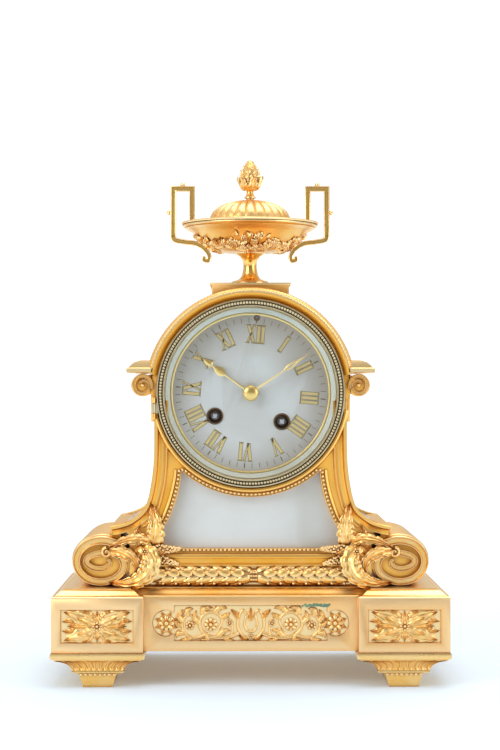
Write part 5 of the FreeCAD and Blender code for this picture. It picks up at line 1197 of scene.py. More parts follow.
def minute_hand_shape(length, bore, y0, back):
    shape = Shape()
    y1 = y0 + HAND_THICK
    boss = [(bore, back), (bore, y0), (3.4, y0), (3.4, y1), (bore + 0.7, y1), (bore + 0.7, back)]
    shape.merge(turned(boss, 48, along_y=True))
    shape.merge(hand_bar([(0, 3.0), (0, 27.5)], taper(0.8, 0.45), y0, y1))
    for side in (-1, 1):
        loop = curve_through([(0, 27.0, 0), (side * 1.15, 31.2, 0), (side * 0.85, 35.5, 0), (0, 38.5, 0)],
                             6)
        shape.merge(hand_bar([(p.x, p.y) for p in loop], taper(0.62, 0.5), y0, y1))
    shape.merge(hand_bar(hand_steps(37.5, length), taper(0.8, 0.14), y0, y1))
    return shape


class CLOCK_OT_hands(bpy.types.Operator):
    """Makes the pierced hour and minute hands and their domed nut"""

    bl_idname = "clock.hands"
    bl_label = "Hands"

    def execute(self, context):
        hour = hour_hand_shape(42.6, 3.05, HOUR_LOW.y, HOUR_HIGH.y)
        minute = minute_hand_shape(46.6, 2.2, MINUTE_LOW.y, MINUTE_HIGH.y)
        for name, shape, angle, body in (("hour", hour, -54.5, "hour"), ("minute", minute, 55.8, "centre")):
            turn = Matrix.Translation((0, 0, DIAL_Z)) @ Matrix.Rotation(math.radians(angle), 4, "Y")
            piece = mesh_object(name + "_pointer", Shape().merge(shape, turn), 50.0)
            dress(piece, body, "gilt_bronze", finish("hand_gilt"), name + "_hand")
        low, high = span("hand_nut")
        reach = (high.x - low.x) / 2
        dome = [(0.0, high.y), (reach, high.y), (reach, high.y - 0.7)]
        for step in range(1, 9):
            angle = math.pi / 2 * step / 8
            dome.append((reach * math.cos(angle), high.y - 0.7 - (high.y - 0.7 - low.y) * math.sin(angle)))
        dome[-1] = (0.0, low.y)
        nut = turned(dome, 64, (0, DIAL_Z), along_y=True)
        dress(mesh_object("hand_boss", nut, 45.0), "centre", "gilt_bronze", finish("hand_gilt"), "hand_nut")
        return {"FINISHED"}


class CLOCK_OT_bezel(bpy.types.Operator):
    """Turns the bezel and sets its row of beads and its inner cord"""

    bl_idname = "clock.bezel"
    bl_label = "Bezel"

    def execute(self, context):
        values = context.scene.clock_ornament
        front, outer = BEZEL_LOW.y, 62.0
        back = BEZEL_BACK
        profile = [(outer, back), (outer, front + 1.9), (outer - 0.25, front + 1.3),
                   (outer - 0.9, front + 1.25), (outer - 1.25, front + 1.7), (outer - 1.7, front + 2.0),
                   (58.2, front + 2.0), (58.0, front + 1.2), (57.7, front + 0.75), (57.2, front + 0.75),
                   (56.65, front + 1.4), (56.65, back)]
        ring = turned(profile, 240, (0, DIAL_Z), along_y=True)
        wide, long = KNUCKLE_WIDE, KNUCKLE_LONG
        barrel = [(0.62, -long), (wide - 0.3, -long), (wide, -long + 0.3), (wide, long - 0.3),
                  (wide - 0.3, long), (0.62, long)]
        hinge = Matrix.Translation((HINGE_PLACE[0], HINGE_PLACE[1], DIAL_Z - 10.0))
        ring.merge(turned(barrel, 24), hinge)
        lug = [(0.7, -long), (2.8, -long), (2.8, long), (0.7, long)]
        ring.merge(slab(lug, 0.2, 1.1), hinge)
        dress(mesh_object("bezel_ring", ring, 40.0), "bezel", "aged_gilt", finish("aged_gilt"), "bezel")
        around = arc((0.0, DIAL_Z), 59.35, 0, 360, 240)[:-1]
        path = [(x, front + 1.4, z) for x, z in around]
        beads = string_beads("bezel_beads", path, values.bezel_bead, values.bezel_bead_pitch,
                             finish("aged_gilt"), closed=True)
        dress(beads, "bezel", "aged_gilt", finish("aged_gilt"))
        inner = [(x, front + 0.85, z) for x, z in arc((0.0, DIAL_Z), 57.45, 0, 360, 240)[:-1]]
        cord = string_beads("bezel_cord", inner, 0.42, 0.92, finish("aged_gilt"), closed=True)
        dress(cord, "bezel", "aged_gilt", finish("aged_gilt"))
        return {"FINISHED"}


# ---------------------------------------------------------------- feet, plinth and plaques
def square_ring(half_x, half_y, z, per_side=72, flute=0.0, flutes=9):
    """A rectangle of points, with hollow flutes along each side when flute is more than nothing."""
    corners = [(-1, -1), (1, -1), (1, 1), (-1, 1)]
    ring = []
    for side in range(4):
        start, end = corners[side], corners[(side + 1) % 4]
        normal = ((start[0] + end[0]) / 2, (start[1] + end[1]) / 2)
        for step in range(per_side):
            share = step / per_side
            local = share * flutes % 1.0
            hollow = max(0.0, 1.0 - (abs(local - 0.5) / 0.36) ** 2) ** 0.5 if flute else 0.0
            x = start[0] + (end[0] - start[0]) * share
            y = start[1] + (end[1] - start[1]) * share
            ring.append((x * half_x - normal[0] * flute * hollow, y * half_y - normal[1] * flute * hollow,
                         z))
    return ring


def foot_shape(flutes):
    """One foot about its own centre: toe, lunette band, fluted cavetto and cap."""
    levels = [(9.4, 0.0, 0), (9.8, 0.4, 0), (10.4, 3.4, 0), (11.6, 7.0, 0), (13.0, 9.4, 0), (16.6, 9.5, 0),
              (17.0, 9.9, 0), (17.0, 10.5, 0), (16.4, 10.9, 0), (16.5, 11.2, 0), (16.8, 11.5, 0.4)]
    for step in range(1, 9):
        share = step / 9
        levels.append((17.0 + 12.0 * (1 - math.cos(share * math.pi / 2)) + 1.0 * share,
                       11.5 + 6.0 * math.sin(share * math.pi / 2), 1.15))
    levels += [(27.6, 17.75, 0.3), (28.4, 17.9, 0), (28.5, 18.5, 0), (30.0, 18.6, 0), (30.7, 19.2, 0)]
    levels += [(30.7, 21.9, 0), (30.0, 22.6, 0)]
    rings = []
    for wide, z, flute in levels:
        deep = FOOT_HALF_Y - (FOOT_HALF_X - wide) * 0.26
        rings.append(square_ring(wide, deep, z, 12 * flutes, flute, flutes))
    return Shape().loft(rings)


def plan_ring(inset, z, settle=False):
    """The plinth's outline seen from above, drawn in by an inset. settle keeps it clear of the break."""
    wide = PLINTH_HIGH.x - inset
    front = PLINTH_LOW.y + inset
    back = PLINTH_HIGH.y - inset
    inner = BREAK_X + inset
    middle = BREAK_Y + inset
    ring = [(-wide, front), (-inner, front), (-inner, middle), (inner, middle), (inner, front),
            (wide, front)]
    if settle:
        level = middle + 4.0
        ring = [(-wide, level), (-inner - 3, level), (-inner + 3, level), (inner - 3, level),
                (inner + 3, level), (wide, level)]
    ring += [(wide, back), (-wide, back)]
    return [(x, y, z) for x, y in ring]


def tendril(points, wide, tip=0.4, height=0.9, per_span=6, thick=0.5):
    """A round stem along a curve that thins to its tip."""
    path = curve_through(points, per_span)

    def surface(s, t):
        return height * (1.0 - abs(s) ** 2.4) * (1.0 - 0.4 * t)

    return strap(path, FORWARD, lambda t: wide * (1.0 - (1.0 - tip) * t), surface, 6, thick)


def curl(centre, outer, inner, start, turn, y, squash=1.0, steps=14):
    """Points of a spiral in the (x, z) plane."""
    points = []
    for step in range(steps + 1):
        share = step / steps
        angle = math.radians(start + turn * share)
        radius = outer + (inner - outer) * share
        points.append((centre[0] + radius * math.cos(angle), y,
                       centre[1] + radius * squash * math.sin(angle)))
    return points


def rosette_panel(y):
    """The leafy rosette of a pavilion about its own centre."""
    shape = Shape()
    for across in (-1, 1):
        for up in (-1, 1):
            for share, wide, tall in ((1.0, 7.2, 1.1), (0.66, 4.2, 1.9)):
                end_x, end_z = across * 21.6 * share, up * 9.2 * share
                points = [(across * 1.6, y, up * 0.8), (end_x * 0.5, y - 0.5, end_z * 0.62),
                          (end_x, y - 0.1, end_z)]
                shape.merge(leaf(points, wide, lobes=4, height=tall, depth=0.5, rows=8, columns=12))
        shape.merge(leaf([(across * 1.4, y, 0), (across * 9, y - 0.5, 0), (across * 19.5, y, 0)], 3.4,
                         lobes=3, height=1.5))
        shape.merge(leaf([(0, y, across * 1.2), (0, y - 0.4, across * 5), (0, y, across * 10.0)], 3.3,
                         lobes=2, height=1.4))
        for up in (-1, 1):
            shape.merge(leaf([(across * 14, y, up * 1.8), (across * 18, y - 0.4, up * 3.4),
                              (across * 22.6, y, up * 3.0)], 2.4, lobes=3, height=1.0))
            shape.merge(leaf([(across * 3, y, up * 5), (across * 6, y - 0.4, up * 8.2),
                              (across * 11, y, up * 9.8)], 2.6, lobes=3, height=1.0))
    shape.merge(blossom(8, 3.5, 1.2), facing((0, y - 1.1, 0), FORWARD))
    return shape


def scroll_frieze(y):
    """The middle frieze about its own centre: a lyre of loops, then vines that wind round flowers."""
    shape = Shape()
    shape.merge(tendril([(0, y, -9.6), (-4.8, y, -8.6), (-8.4, y, -3), (-8.0, y, 4), (-5.2, y, 8.6),
                         (-3.2, y, 6.5),
                         (-3.6, y, 3.2)], 1.25, 0.6, 1.3))
    shape.merge(tendril([(0, y, -5.4), (-2.4, y, -4.8), (-4.2, y, -1), (-3.4, y, 3.2), (-1.4, y, 6),
                         (0, y, 8.6)], 1.0, 0.5, 1.2))
    shape.merge(leaf([(-0.6, y, -9), (-4.6, y - 0.4, -10), (-8.6, y, -7.4)], 1.6, lobes=3, height=1.2))
    shape.merge(leaf([(-7.5, y, 3), (-10.4, y - 0.5, 6.6), (-13.2, y, 9.0)], 1.9, lobes=3, height=1.3))
    vine = [(-7.6, y, -6.5), (-13, y, -8.6), (-20, y, -9.4), (-27.5, y, -8.4), (-33, y, -3.2),
            (-32.6, y, 3.2), (-27.6, y, 7.2), (-21.6, y, 6.0), (-18.8, y, 1.2), (-21, y, -3.4)]
    shape.merge(tendril(vine, 1.6, 0.6, 1.3))
    second = [(-29.5, y, -7.2), (-35.5, y, -9.4), (-41, y, -8.2), (-44.8, y, -2.8), (-43.4, y, 3.4),
              (-39.2, y, 5.4), (-36.6, y, 2.4)]
    shape.merge(tendril(second, 1.3, 0.5, 1.2))
    third = [(-12.8, y, -8.4), (-12.2, y, -2.6), (-13.6, y, 2.6), (-16.6, y, 3.4)]
    shape.merge(tendril(third, 1.1, 0.4, 1.0))
    leaves = [((-22, -8.8), (-18, -5), (-13.6, -4.6), 1.7), ((-30, -6), (-28.4, -10.2), (-34, -11), 1.4),
              ((-33, 0), (-36.6, 3.6), (-35.6, 8.6), 1.7), ((-31, 5.4), (-30.4, 9.6), (-24.6, 10.4), 1.8),
              ((-24, 6.8), (-20.4, 10.4), (-15, 9.8), 1.7), ((-19.4, 3.4), (-15.6, 5.2), (-13.6, 6.8), 1.2),
              ((-17, -9), (-15, -11), (-10.5, -11), 1.3), ((-44, 1), (-46.6, 4.6), (-44.6, 9.2), 1.7),
              ((-42.4, 4.4), (-41.2, 8.6), (-37.4, 9.6), 1.6),
              ((-43.6, -5.6), (-47.4, -6.6), (-48.6, -9.6), 1.6),
              ((-38.6, -9), (-42.4, -11), (-46.2, -10.4), 1.3),
              ((-45, -1.6), (-48.4, -0.4), (-49.6, 3), 1.2)]
    for start, middle, end, wide in leaves:
        points = [(start[0], y, start[1]), (middle[0], y - 0.4, middle[1]), (end[0], y, end[1])]
        shape.merge(leaf(points, wide * 1.55, lobes=3, height=1.2, depth=0.35, rows=7, columns=10))
    shape.merge(blossom(8, 4.6, 1.2), facing((-26.2, y - 0.6, -0.8), FORWARD))
    shape.merge(blossom(7, 3.2, 1.2), facing((-39.8, y - 0.5, -1.4), FORWARD))
    shape.merge(blossom(5, 2.4, 1.0), facing((-13.8, y - 0.5, 0.2), FORWARD))
    shape.merge(blossom(8, 5.6, 1.3), facing((-55.2, y - 0.6, 0), FORWARD))
    for around in range(8):
        angle = math.tau * around / 8 + 0.39
        start = (-55.2 + 4.4 * math.cos(angle), y, 4.4 * math.sin(angle))
        end = (-55.2 + 7.9 * math.cos(angle), y, 7.9 * math.sin(angle))
        shape.merge(leaf([start, ((start[0] + end[0]) / 2, y - 0.3, (start[2] + end[2]) / 2), end], 1.5,
                         lobes=1, height=0.9, rows=5, columns=6))
    shape.mirrored()
    shape.merge(leaf([(0, y, 1.5), (0, y - 0.5, 6), (0, y, 10.4)], 1.9, lobes=3, height=1.3))
    shape.merge(blossom(6, 2.0, 0.9), facing((0, y - 0.9, -9.0), FORWARD))
    return shape


def framed(width, height, y, lip=1.0):
    """A fillet round a panel about its own centre."""
    path = [(-width, -height), (-width, height), (width, height), (width, -height)]
    return swept(path, [(-0.05, y + 1.2), (-0.05, y), (0.25, y - 0.35), (lip * 0.75, y - 0.35), (lip, y),
                        (lip, y + 1.2)], closed=True)


class CLOCK_OT_feet(bpy.types.Operator):
    """Makes the four fluted feet"""

    bl_idname = "clock.feet"
    bl_label = "Feet"

    def execute(self, context):
        one = foot_shape(context.scene.clock_ornament.foot_flutes)
        feet = Shape()
        lunettes = []
        for side in (-1, 1):
            for end in (-1, 1):
                x = side * (FEET_HIGH.x - FOOT_HALF_X)
                y = end * (FEET_HIGH.y - FOOT_HALF_Y)
                feet.merge(one, Matrix.Translation((x, y, 0)))
                for step in range(8):
                    along = (step - 3.5) * 3.1
                    lunettes.append(facing((x + along, y - 23.7, 8.3), FORWARD))
                    lunettes.append(facing((x + side * 12.6, y + along * 1.7, 8.3), (side, 0, 0)))
        gild(mesh_object("fluted_feet", feet, 28.0), "chased_gilt", "feet")
        strew("foot_lunettes", ball(1.15, 10, 6, 0.8), lunettes, "chased_gilt")
        return {"FINISHED"}


class CLOCK_OT_plinth(bpy.types.Operator):
    """Runs the moulding round the top of the plinth and casts its plaques"""

    bl_idname = "clock.plinth"
    bl_label = "Plinth"

    def execute(self, context):
        levels = [(0.0, TOP_LOW.z), (0.0, TOP_LOW.z + 0.9), (0.5, TOP_LOW.z + 1.3), (0.9, TOP_LOW.z + 1.3)]
        for step in range(1, 12):
            share = step / 12
            smooth = share * share * (3 - 2 * share)
            levels.append((0.9 + 6.6 * share, TOP_LOW.z + 1.3 + 3.7 * smooth))
        levels += [(7.6, TOP_HIGH.z - 0.7), (8.2, TOP_HIGH.z - 0.5), (8.4, TOP_HIGH.z)]
        rings = [plan_ring(1.0, TOP_LOW.z, True), *[plan_ring(inset, z) for inset, z in levels]]
        rings.append(plan_ring(8.4, TOP_HIGH.z, True))
        gild(mesh_object("plinth_moulding", Shape().loft(rings), 22.0), "satin_gilt", "plinth_top")
        plaques = Shape()
        y_side = PLINTH_LOW.y + 1.6
        for side in (-1, 1):
            matrix = Matrix.Translation((side * PLAQUE_X, 0, PLAQUE_Z))
            plaques.merge(slab([(-23.6, -10.75), (23.6, -10.75), (23.6, 10.75), (-23.6, 10.75)], y_side,
                               y_side + 1.0), matrix)
            plaques.merge(rosette_panel(y_side + 0.1), matrix)
            plaques.merge(framed(23.3, 10.4, y_side - 0.3, 0.9), matrix)
        y_mid = BREAK_Y + 1.6
        outline = [(-50.0, 11.5), *[(-55.55 + x, z) for x, z in arc((0, 0), 8.6, 130, 230, 16)],
                   (-50.0, -11.5), (50.0, -11.5),
                   *[(55.55 + x, z) for x, z in arc((0, 0), 8.6, -50, 50, 16)], (50.0, 11.5)]
        middle = Matrix.Translation((0, 0, FRIEZE_Z))
        plaques.merge(slab(outline, y_mid, y_mid + 1.0), middle)
        plaques.merge(scroll_frieze(y_mid + 0.1), middle)
        piece = mesh_object("plinth_reliefs", plaques, 40.0)
        gild(piece, "relief_gilt", "plinth_plaques")
        chance = random.Random(context.scene.clock_ornament.seed)
        stain = Shape()
        for index in range(46):
            x = 34.0 + 17.5 * index / 45 + chance.uniform(-0.8, 0.8)
            z = PLAQUE_Z + 12.6 + chance.uniform(-0.7, 0.7)
            size = chance.uniform(0.45, 1.0)
            place = facing((x, BREAK_Y - 0.02, z), FORWARD, chance.uniform(0, 3.1))
            stain.merge(ball(size, 8, 5, 0.14), place)
        for index in range(9):
            place = facing((-75.2 + chance.uniform(-2, 2), PLINTH_LOW.y + 1.0, TOP_LOW.z + 0.6), FORWARD)
            stain.merge(ball(chance.uniform(0.4, 0.8), 8, 5, 0.14), place)
        gild(mesh_object("verdigris_stain", stain), "verdigris")
        return {"FINISHED"}


# ---------------------------------------------------------------- front mouldings, laurel and corner mounts
def frame_edge():
    """The right-hand outline of the front frame as (x, z), from the shoulder down to the ledge."""
    straight = [Vector((63.7, 186.0)), Vector((63.7, 172.0))]
    sweep = [(63.7, 158.0, 0), (64.3, 141.4, 0), (66.6, 126.0, 0), (70.6, 114.7, 0), (79.0, 107.4, 0),
             (85.6, 104.8, 0), (92.3, 103.4, 0)]
    return straight + [Vector((point.x, point.y)) for point in curve_through(sweep, 6)]


def panel_side(grow):
    """The right side of the onyx panel's outline as (x, z), from its foot to its top corner."""
    points = [(69.5 + grow, BODY_BASE + 24.8 - grow * 0.6, 0), (60.4, 98.6, 0), (54.0, 108.6, 0),
              (49.4, 121.0, 0), (46.6, 133.0, 0), (45.8, DIAL_Z - 50.9, 0)]
    points[1:] = [(x + grow, z, 0) for x, z, _ in points[1:]]
    return [Vector((point.x, point.y)) for point in curve_through(points, 6)]


def panel_border(grow, radius):
    """The whole outline of the onyx panel, drawn outwards by grow, with the dial's arc for its top."""
    right = panel_side(grow)
    corner = math.degrees(math.atan2(right[-1].y - DIAL_Z, right[-1].x))
    top = [Vector(point) for point in arc((0.0, DIAL_Z), radius, corner, -180 - corner, 48)]
    left = [Vector((-point.x, point.y)) for point in reversed(right)]
    return right + top[1:-1] + left


class CLOCK_OT_mouldings(bpy.types.Operator):
    """Casts the mouldings, beads and rail of the front frame"""

    bl_idname = "clock.mouldings"
    bl_label = "Front mouldings"

    def execute(self, context):
        values = context.scene.clock_ornament
        front = BODY_FRONT
        edge = frame_edge()
        rim = [(-0.15, front + 0.4), (-0.15, front - 1.7), (-0.6, front - 2.3), (-2.3, front - 2.3),
               (-2.9, front - 1.7), (-3.2, front - 0.8), (-4.4, front - 0.25), (-6.4, front - 0.12),
               (-6.4, front + 0.4)]
        shape = swept([tuple(point) for point in edge], rim)
        fillet = [(-7.4, front + 0.4), (-7.4, front - 0.7), (-7.9, front - 1.3), (-8.8, front - 1.3),
                  (-9.3, front - 0.7), (-9.3, front + 0.4)]
        shape.merge(swept([tuple(point) for point in edge if point.y > STEP_Z + 5.0], fillet))
        shape.mirrored()
        border = panel_border(0.0, 68.5)
        torus = [(-2.7, front + 0.3), (-2.7, front - 0.8), (-3.1, front - 1.5), (-3.8, front - 1.8),
                 (-4.5, front - 1.5), (-4.9, front - 0.8), (-4.9, front + 0.3)]
        side = panel_side(0.0)
        shape.merge(swept([tuple(point) for point in side], torus).mirrored())
        lip = [(0.1, front + 0.8), (0.1, front - 0.2), (-0.3, front - 0.5), (-0.6, front - 0.2),
               (-0.6, front + 0.8)]
        shape.merge(swept([tuple(point) for point in border], lip, closed=True))
        ring = [(62.5, front + 0.2), (62.5, front - 1.5), (63.0, front - 2.4), (64.1, front - 2.9),
                (65.2, front - 2.4), (65.8, front - 1.3), (66.1, front + 0.2)]
        shape.merge(turned(ring, 150, (0, DIAL_Z), 190, 350, along_y=True))
        low = BODY_BASE + 13.3
        rail = [(0.0, front - 2.8), (0.0, front - 3.6), (0.9, front - 4.0), (1.9, front - 3.6),
                (2.3, front - 3.05), (5.0, front - 3.05), (5.3, front - 3.5), (6.3, front - 3.9),
                (7.6, front - 3.5), (8.2, front - 2.8)]
        shape.merge(swept([(-67.8, low), (67.8, low)], rail))
        gild(mesh_object("front_mouldings", shape, 32.0), "deep_gilt")
        beads = panel_border(1.5, 66.9)
        path = [(point.x, front - 0.7, point.y) for point in beads]
        pearls = string_beads("panel_beads", path, values.panel_bead, values.panel_bead_pitch,
                              finish("chased_gilt"), closed=True)
        gild(pearls, "chased_gilt")
        return {"FINISHED"}


class CLOCK_OT_laurel(bpy.types.Operator):
    """Binds the foot of the front with a bar of laurel leaves and berries"""

    bl_idname = "clock.laurel"
    bl_label = "Laurel"

    def execute(self, context):
        values = context.scene.clock_ornament
        seed = random.Random(values.seed)
        front = BODY_FRONT
        middle = (front - 0.6, BODY_BASE + 7.2)
        core = [(middle[0] - 4.0 * math.sin(math.radians(a)), middle[1] + 4.9 * math.cos(math.radians(a)))
                for a in range(0, 181, 12)]
        rings = [[(x, y, z) for y, z in core] for x in (-66.0, -22.0, 22.0, 66.0)]
        shape = Shape().loft(rings)
        strip = [(-66.0, BODY_BASE + 1.3), (66.0, BODY_BASE + 1.3), (66.0, BODY_BASE + 13.1),
                 (-66.0, BODY_BASE + 13.1)]
        shape.merge(slab(strip, front - 1.6, front, 0.3))
        gild(mesh_object("laurel_core", shape), "satin_gilt", "laurel_moulding")
        up = Vector((0, 0, 1))
        blade = leaf([(0, 0, 0), (5.4, 0, 1.3), (12.0, 0, 0.7)], 3.1, up, 1, 1.0, 0.12, 0.5, 6, 8)
        places, berries = [], []
        count = int(64.0 / values.laurel_pitch)
        for side in (-1, 1):
            for row, angle in enumerate((36, 74, 112, 150)):
                for step in range(count + 1):
                    x = 2.0 + side * (2.0 + values.laurel_pitch * (step + 0.5 * (row % 2)))
                    if abs(x) > 58.5:
                        continue
                    a = math.radians(angle)
                    normal = (0, -math.sin(a), math.cos(a))
                    y = middle[0] - 4.0 * math.sin(a)
                    z = middle[1] + 4.9 * math.cos(a)
                    swing = (1.5 - row) * 0.2 * side + seed.uniform(-0.05, 0.05)
                    turn = swing if side > 0 else math.pi + swing
                    places.append(facing((x, y, z), normal, turn))
                    if row in (1, 2):
                        berries.append(facing((x + side * 7.2, y - 1.1, z + (3.2 if row == 1 else -3.0)),
                                              normal))
        strew("laurel_leaves", blade, places, "chased_gilt")
        for across in (-1.6, 0.0, 1.6):
            for along in (-2.4, 0.0, 2.4):
                berries.append(facing((2.0 + across, middle[0] - 4.6, middle[1] + along), FORWARD))
        strew("laurel_berries", ball(1.0, 10, 6), berries, "chased_gilt")
        return {"FINISHED"}


def corner_spray():
    """The leaves of the left-hand corner mount."""
    shape = Shape()
    sprays = [
        ([(-65.0, -54, 89), (-62.6, -58.5, 98), (-62.8, -58.6, 107), (-65.4, -54.5, 119.4)], 6.4, 6, 1.6),
        ([(-73.0, -54, 90), (-75.0, -57.5, 96.5), (-72.4, -55.0, 104.6)], 3.2, 3, 1.6),
        ([(-66.5, -57, 93), (-74, -60.5, 95.6), (-84, -60.2, 94.0), (-94.5, -57.5, 88.6)], 3.9, 5, 1.3),
        ([(-93.5, -56.5, 87.6), (-84, -60.4, 86.6), (-75.5, -61.0, 80.2), (-75.6, -57.5, 69.0)], 4.4, 5,
         1.4),
        ([(-72, -56, 91), (-65.6, -61.4, 82.2), (-68.6, -62.0, 72.4), (-79, -60.5, 66.6),
          (-95, -56.5, 66.4)], 7.2, 8, 1.7),
        ([(-68, -56, 72), (-70.6, -59.0, 67.4), (-74.0, -57.0, 63.8)], 2.8, 3, 1.2),
        ([(-66, -56, 88), (-60.5, -59.0, 86.6), (-55.5, -57.0, 84.4)], 2.6, 3, 1.4),
    ]
    for points, width, lobes, height in sprays:
        shape.merge(leaf(points, width, lobes=lobes, height=height, depth=0.6, thick=1.2, rows=14,
                         columns=20))
    shape.merge(tendril(curl((-94.6, 86.2), 3.4, 0.9, 95, 430, -57.4, 1.0, 20), 1.2, 0.6, 1.3))
    shape.merge(blossom(6, 2.4, 1.4), facing((-69.4, -61.8, 87.4), FORWARD))
    return shape


def grape_places(start, end, width, count, seed):
    """Where the berries of a hanging bunch sit."""
    chance = random.Random(seed)
    places = []
    for step in range(count):
        share = step / (count - 1)
        swing = width * (1.0 - 0.8 * share) * math.sin(step * 2.4)
        out = width * 0.5 * (1.0 - 0.7 * share) * (0.6 + 0.4 * math.cos(step * 2.4))
        x = start[0] + (end[0] - start[0]) * share
        z = start[1] + (end[1] - start[1]) * share + swing
        places.append((x, -56.2 - out - chance.uniform(0.0, 0.4), z))
    return places


class CLOCK_OT_corners(bpy.types.Operator):
    """Casts the leaves and berries that hold the corners of the front"""

    bl_idname = "clock.corners"
    bl_label = "Corner mounts"

    def execute(self, context):
        spray = corner_spray().mirrored()
        for side in (-1, 1):
            backing = [(side * x, z) for x, z in ((-64.0, 68.0), (-62.0, 78.0), (-60.0, 88.0),
                                                  (-65.0, 95.0), (-72.0, 93.0), (-76.0, 84.0),
                                                  (-74.0, 69.0))]
            spray.merge(slab(backing, -56.0, BODY_FRONT, 1.2))
        piece = mesh_object("corner_leaves", spray, 42.0)
        gild(piece, "chased_gilt", "corner_mounts")
        bunches = grape_places((-62.5, 88.0), (-46.4, 88.6), 3.4, 44, 5)
        bunches += grape_places((-62.0, 83.0), (-48.0, 78.6), 3.0, 38, 9)
        berries = [facing((side * x, y, z), FORWARD) for side in (-1, 1) for x, y, z in bunches]
        strew("corner_berries", ball(1.05, 10, 6), berries, "chased_gilt")
        return {"FINISHED"}


# ---------------------------------------------------------------- side scrolls and cornice
def oval_scroll(centre, stations, y, steps):
    """Points of a scroll whose radii are given at some angles, as (degrees, across, up) stations."""
    guide = curve_through(stations, steps)
    path = []
    for angle, wide, tall in guide:
        turn = math.radians(angle)
        path.append(Vector((centre[0] + wide * math.cos(turn), y, centre[1] + tall * math.sin(turn))))
    return path


def ribbon(path, wide, narrow, edge, up=FORWARD):
    """A flat band with two raised edges."""

    def surface(s, t):
        rise = edge * min(1.0, max(0.0, (abs(s) - 0.5) / 0.22))
        return 1.5 + rise * (1.0 if abs(s) < 0.97 else 0.7)

    return strap(path, up, lambda t: wide + (narrow - wide) * t, surface, 16, 0.6)


LARGE_SCROLL = [(136, 16.6, 13.9), (70, 16.4, 13.7), (0, 16.4, 13.7), (-70, 16.4, 13.7), (-140, 16.2, 13.0),
                (-185, 13.8, 11.0), (-230, 10.6, 7.0), (-290, 10.2, 5.2), (-350, 10.0, 5.0),
                (-410, 9.4, 5.2), (-470, 8.0, 4.6), (-530, 5.4, 2.6), (-560, 4.0, 1.2)]
SMALL_SCROLL = [(200, 5.6, 6.2), (130, 5.6, 6.2), (60, 5.6, 6.2), (-20, 5.4, 6.0), (-100, 5.0, 5.4),
                (-180, 4.0, 4.2), (-260, 2.8, 3.0), (-320, 2.0, 2.2)]


class CLOCK_OT_scrolls(bpy.types.Operator):
    """Reeds the side drums and winds the scrolls on their faces and at the shoulders"""

    bl_idname = "clock.scrolls"
    bl_label = "Scrolls"

    def execute(self, context):
        base = softened("side_scrolls", "scroll_castings", 0.4)
        gild(base, "deep_gilt", "side_scrolls")
        centre = ((SCROLL_HIGH.x - 19.2), BODY_BASE + 16.6)
        relief = Shape()
        for y, up in ((BODY_FRONT, FORWARD), (BODY_BACK, Vector((0, 1, 0)))):
            path = oval_scroll(centre, LARGE_SCROLL, y, 9)
            relief.merge(ribbon(path, 2.9, 1.7, 1.7, up))
            shoulder = (71.4, DIAL_Z + 5.2)
            path = oval_scroll(shoulder, SMALL_SCROLL, y, 9)
            relief.merge(ribbon(path, 1.5, 0.9, 0.7, up))
            relief.merge(ball(1.3, 16, 8, 0.7), facing((shoulder[0], y + up.y * 0.6, shoulder[1]), up))
        reeds = 15
        pitch = (BODY_BACK - BODY_FRONT - 12.0) / reeds
        for index in range(reeds):
            y = BODY_FRONT + 6.0 + pitch * (index + 0.5)
            rings = []
            for step in range(33):
                angle = math.radians(118 - 186 * step / 32)
                away = Vector((math.cos(angle) / 19.2, 0, math.sin(angle) / 16.5)).normalized()
                foot = Vector((centre[0] + 19.0 * math.cos(angle), y, centre[1] + 16.3 * math.sin(angle)))
                ring = []
                for turn in range(0, 181, 20):
                    a = math.radians(turn)
                    ring.append(foot + Vector((0, pitch * 0.44 * math.cos(a),
                                               0)) + away * (1.35 * math.sin(a)))
                rings.append(ring)
            relief.merge(Shape().loft(rings))
        relief.mirrored()
        gild(mesh_object("scroll_reliefs", relief, 38.0), "chased_gilt")
        return {"FINISHED"}


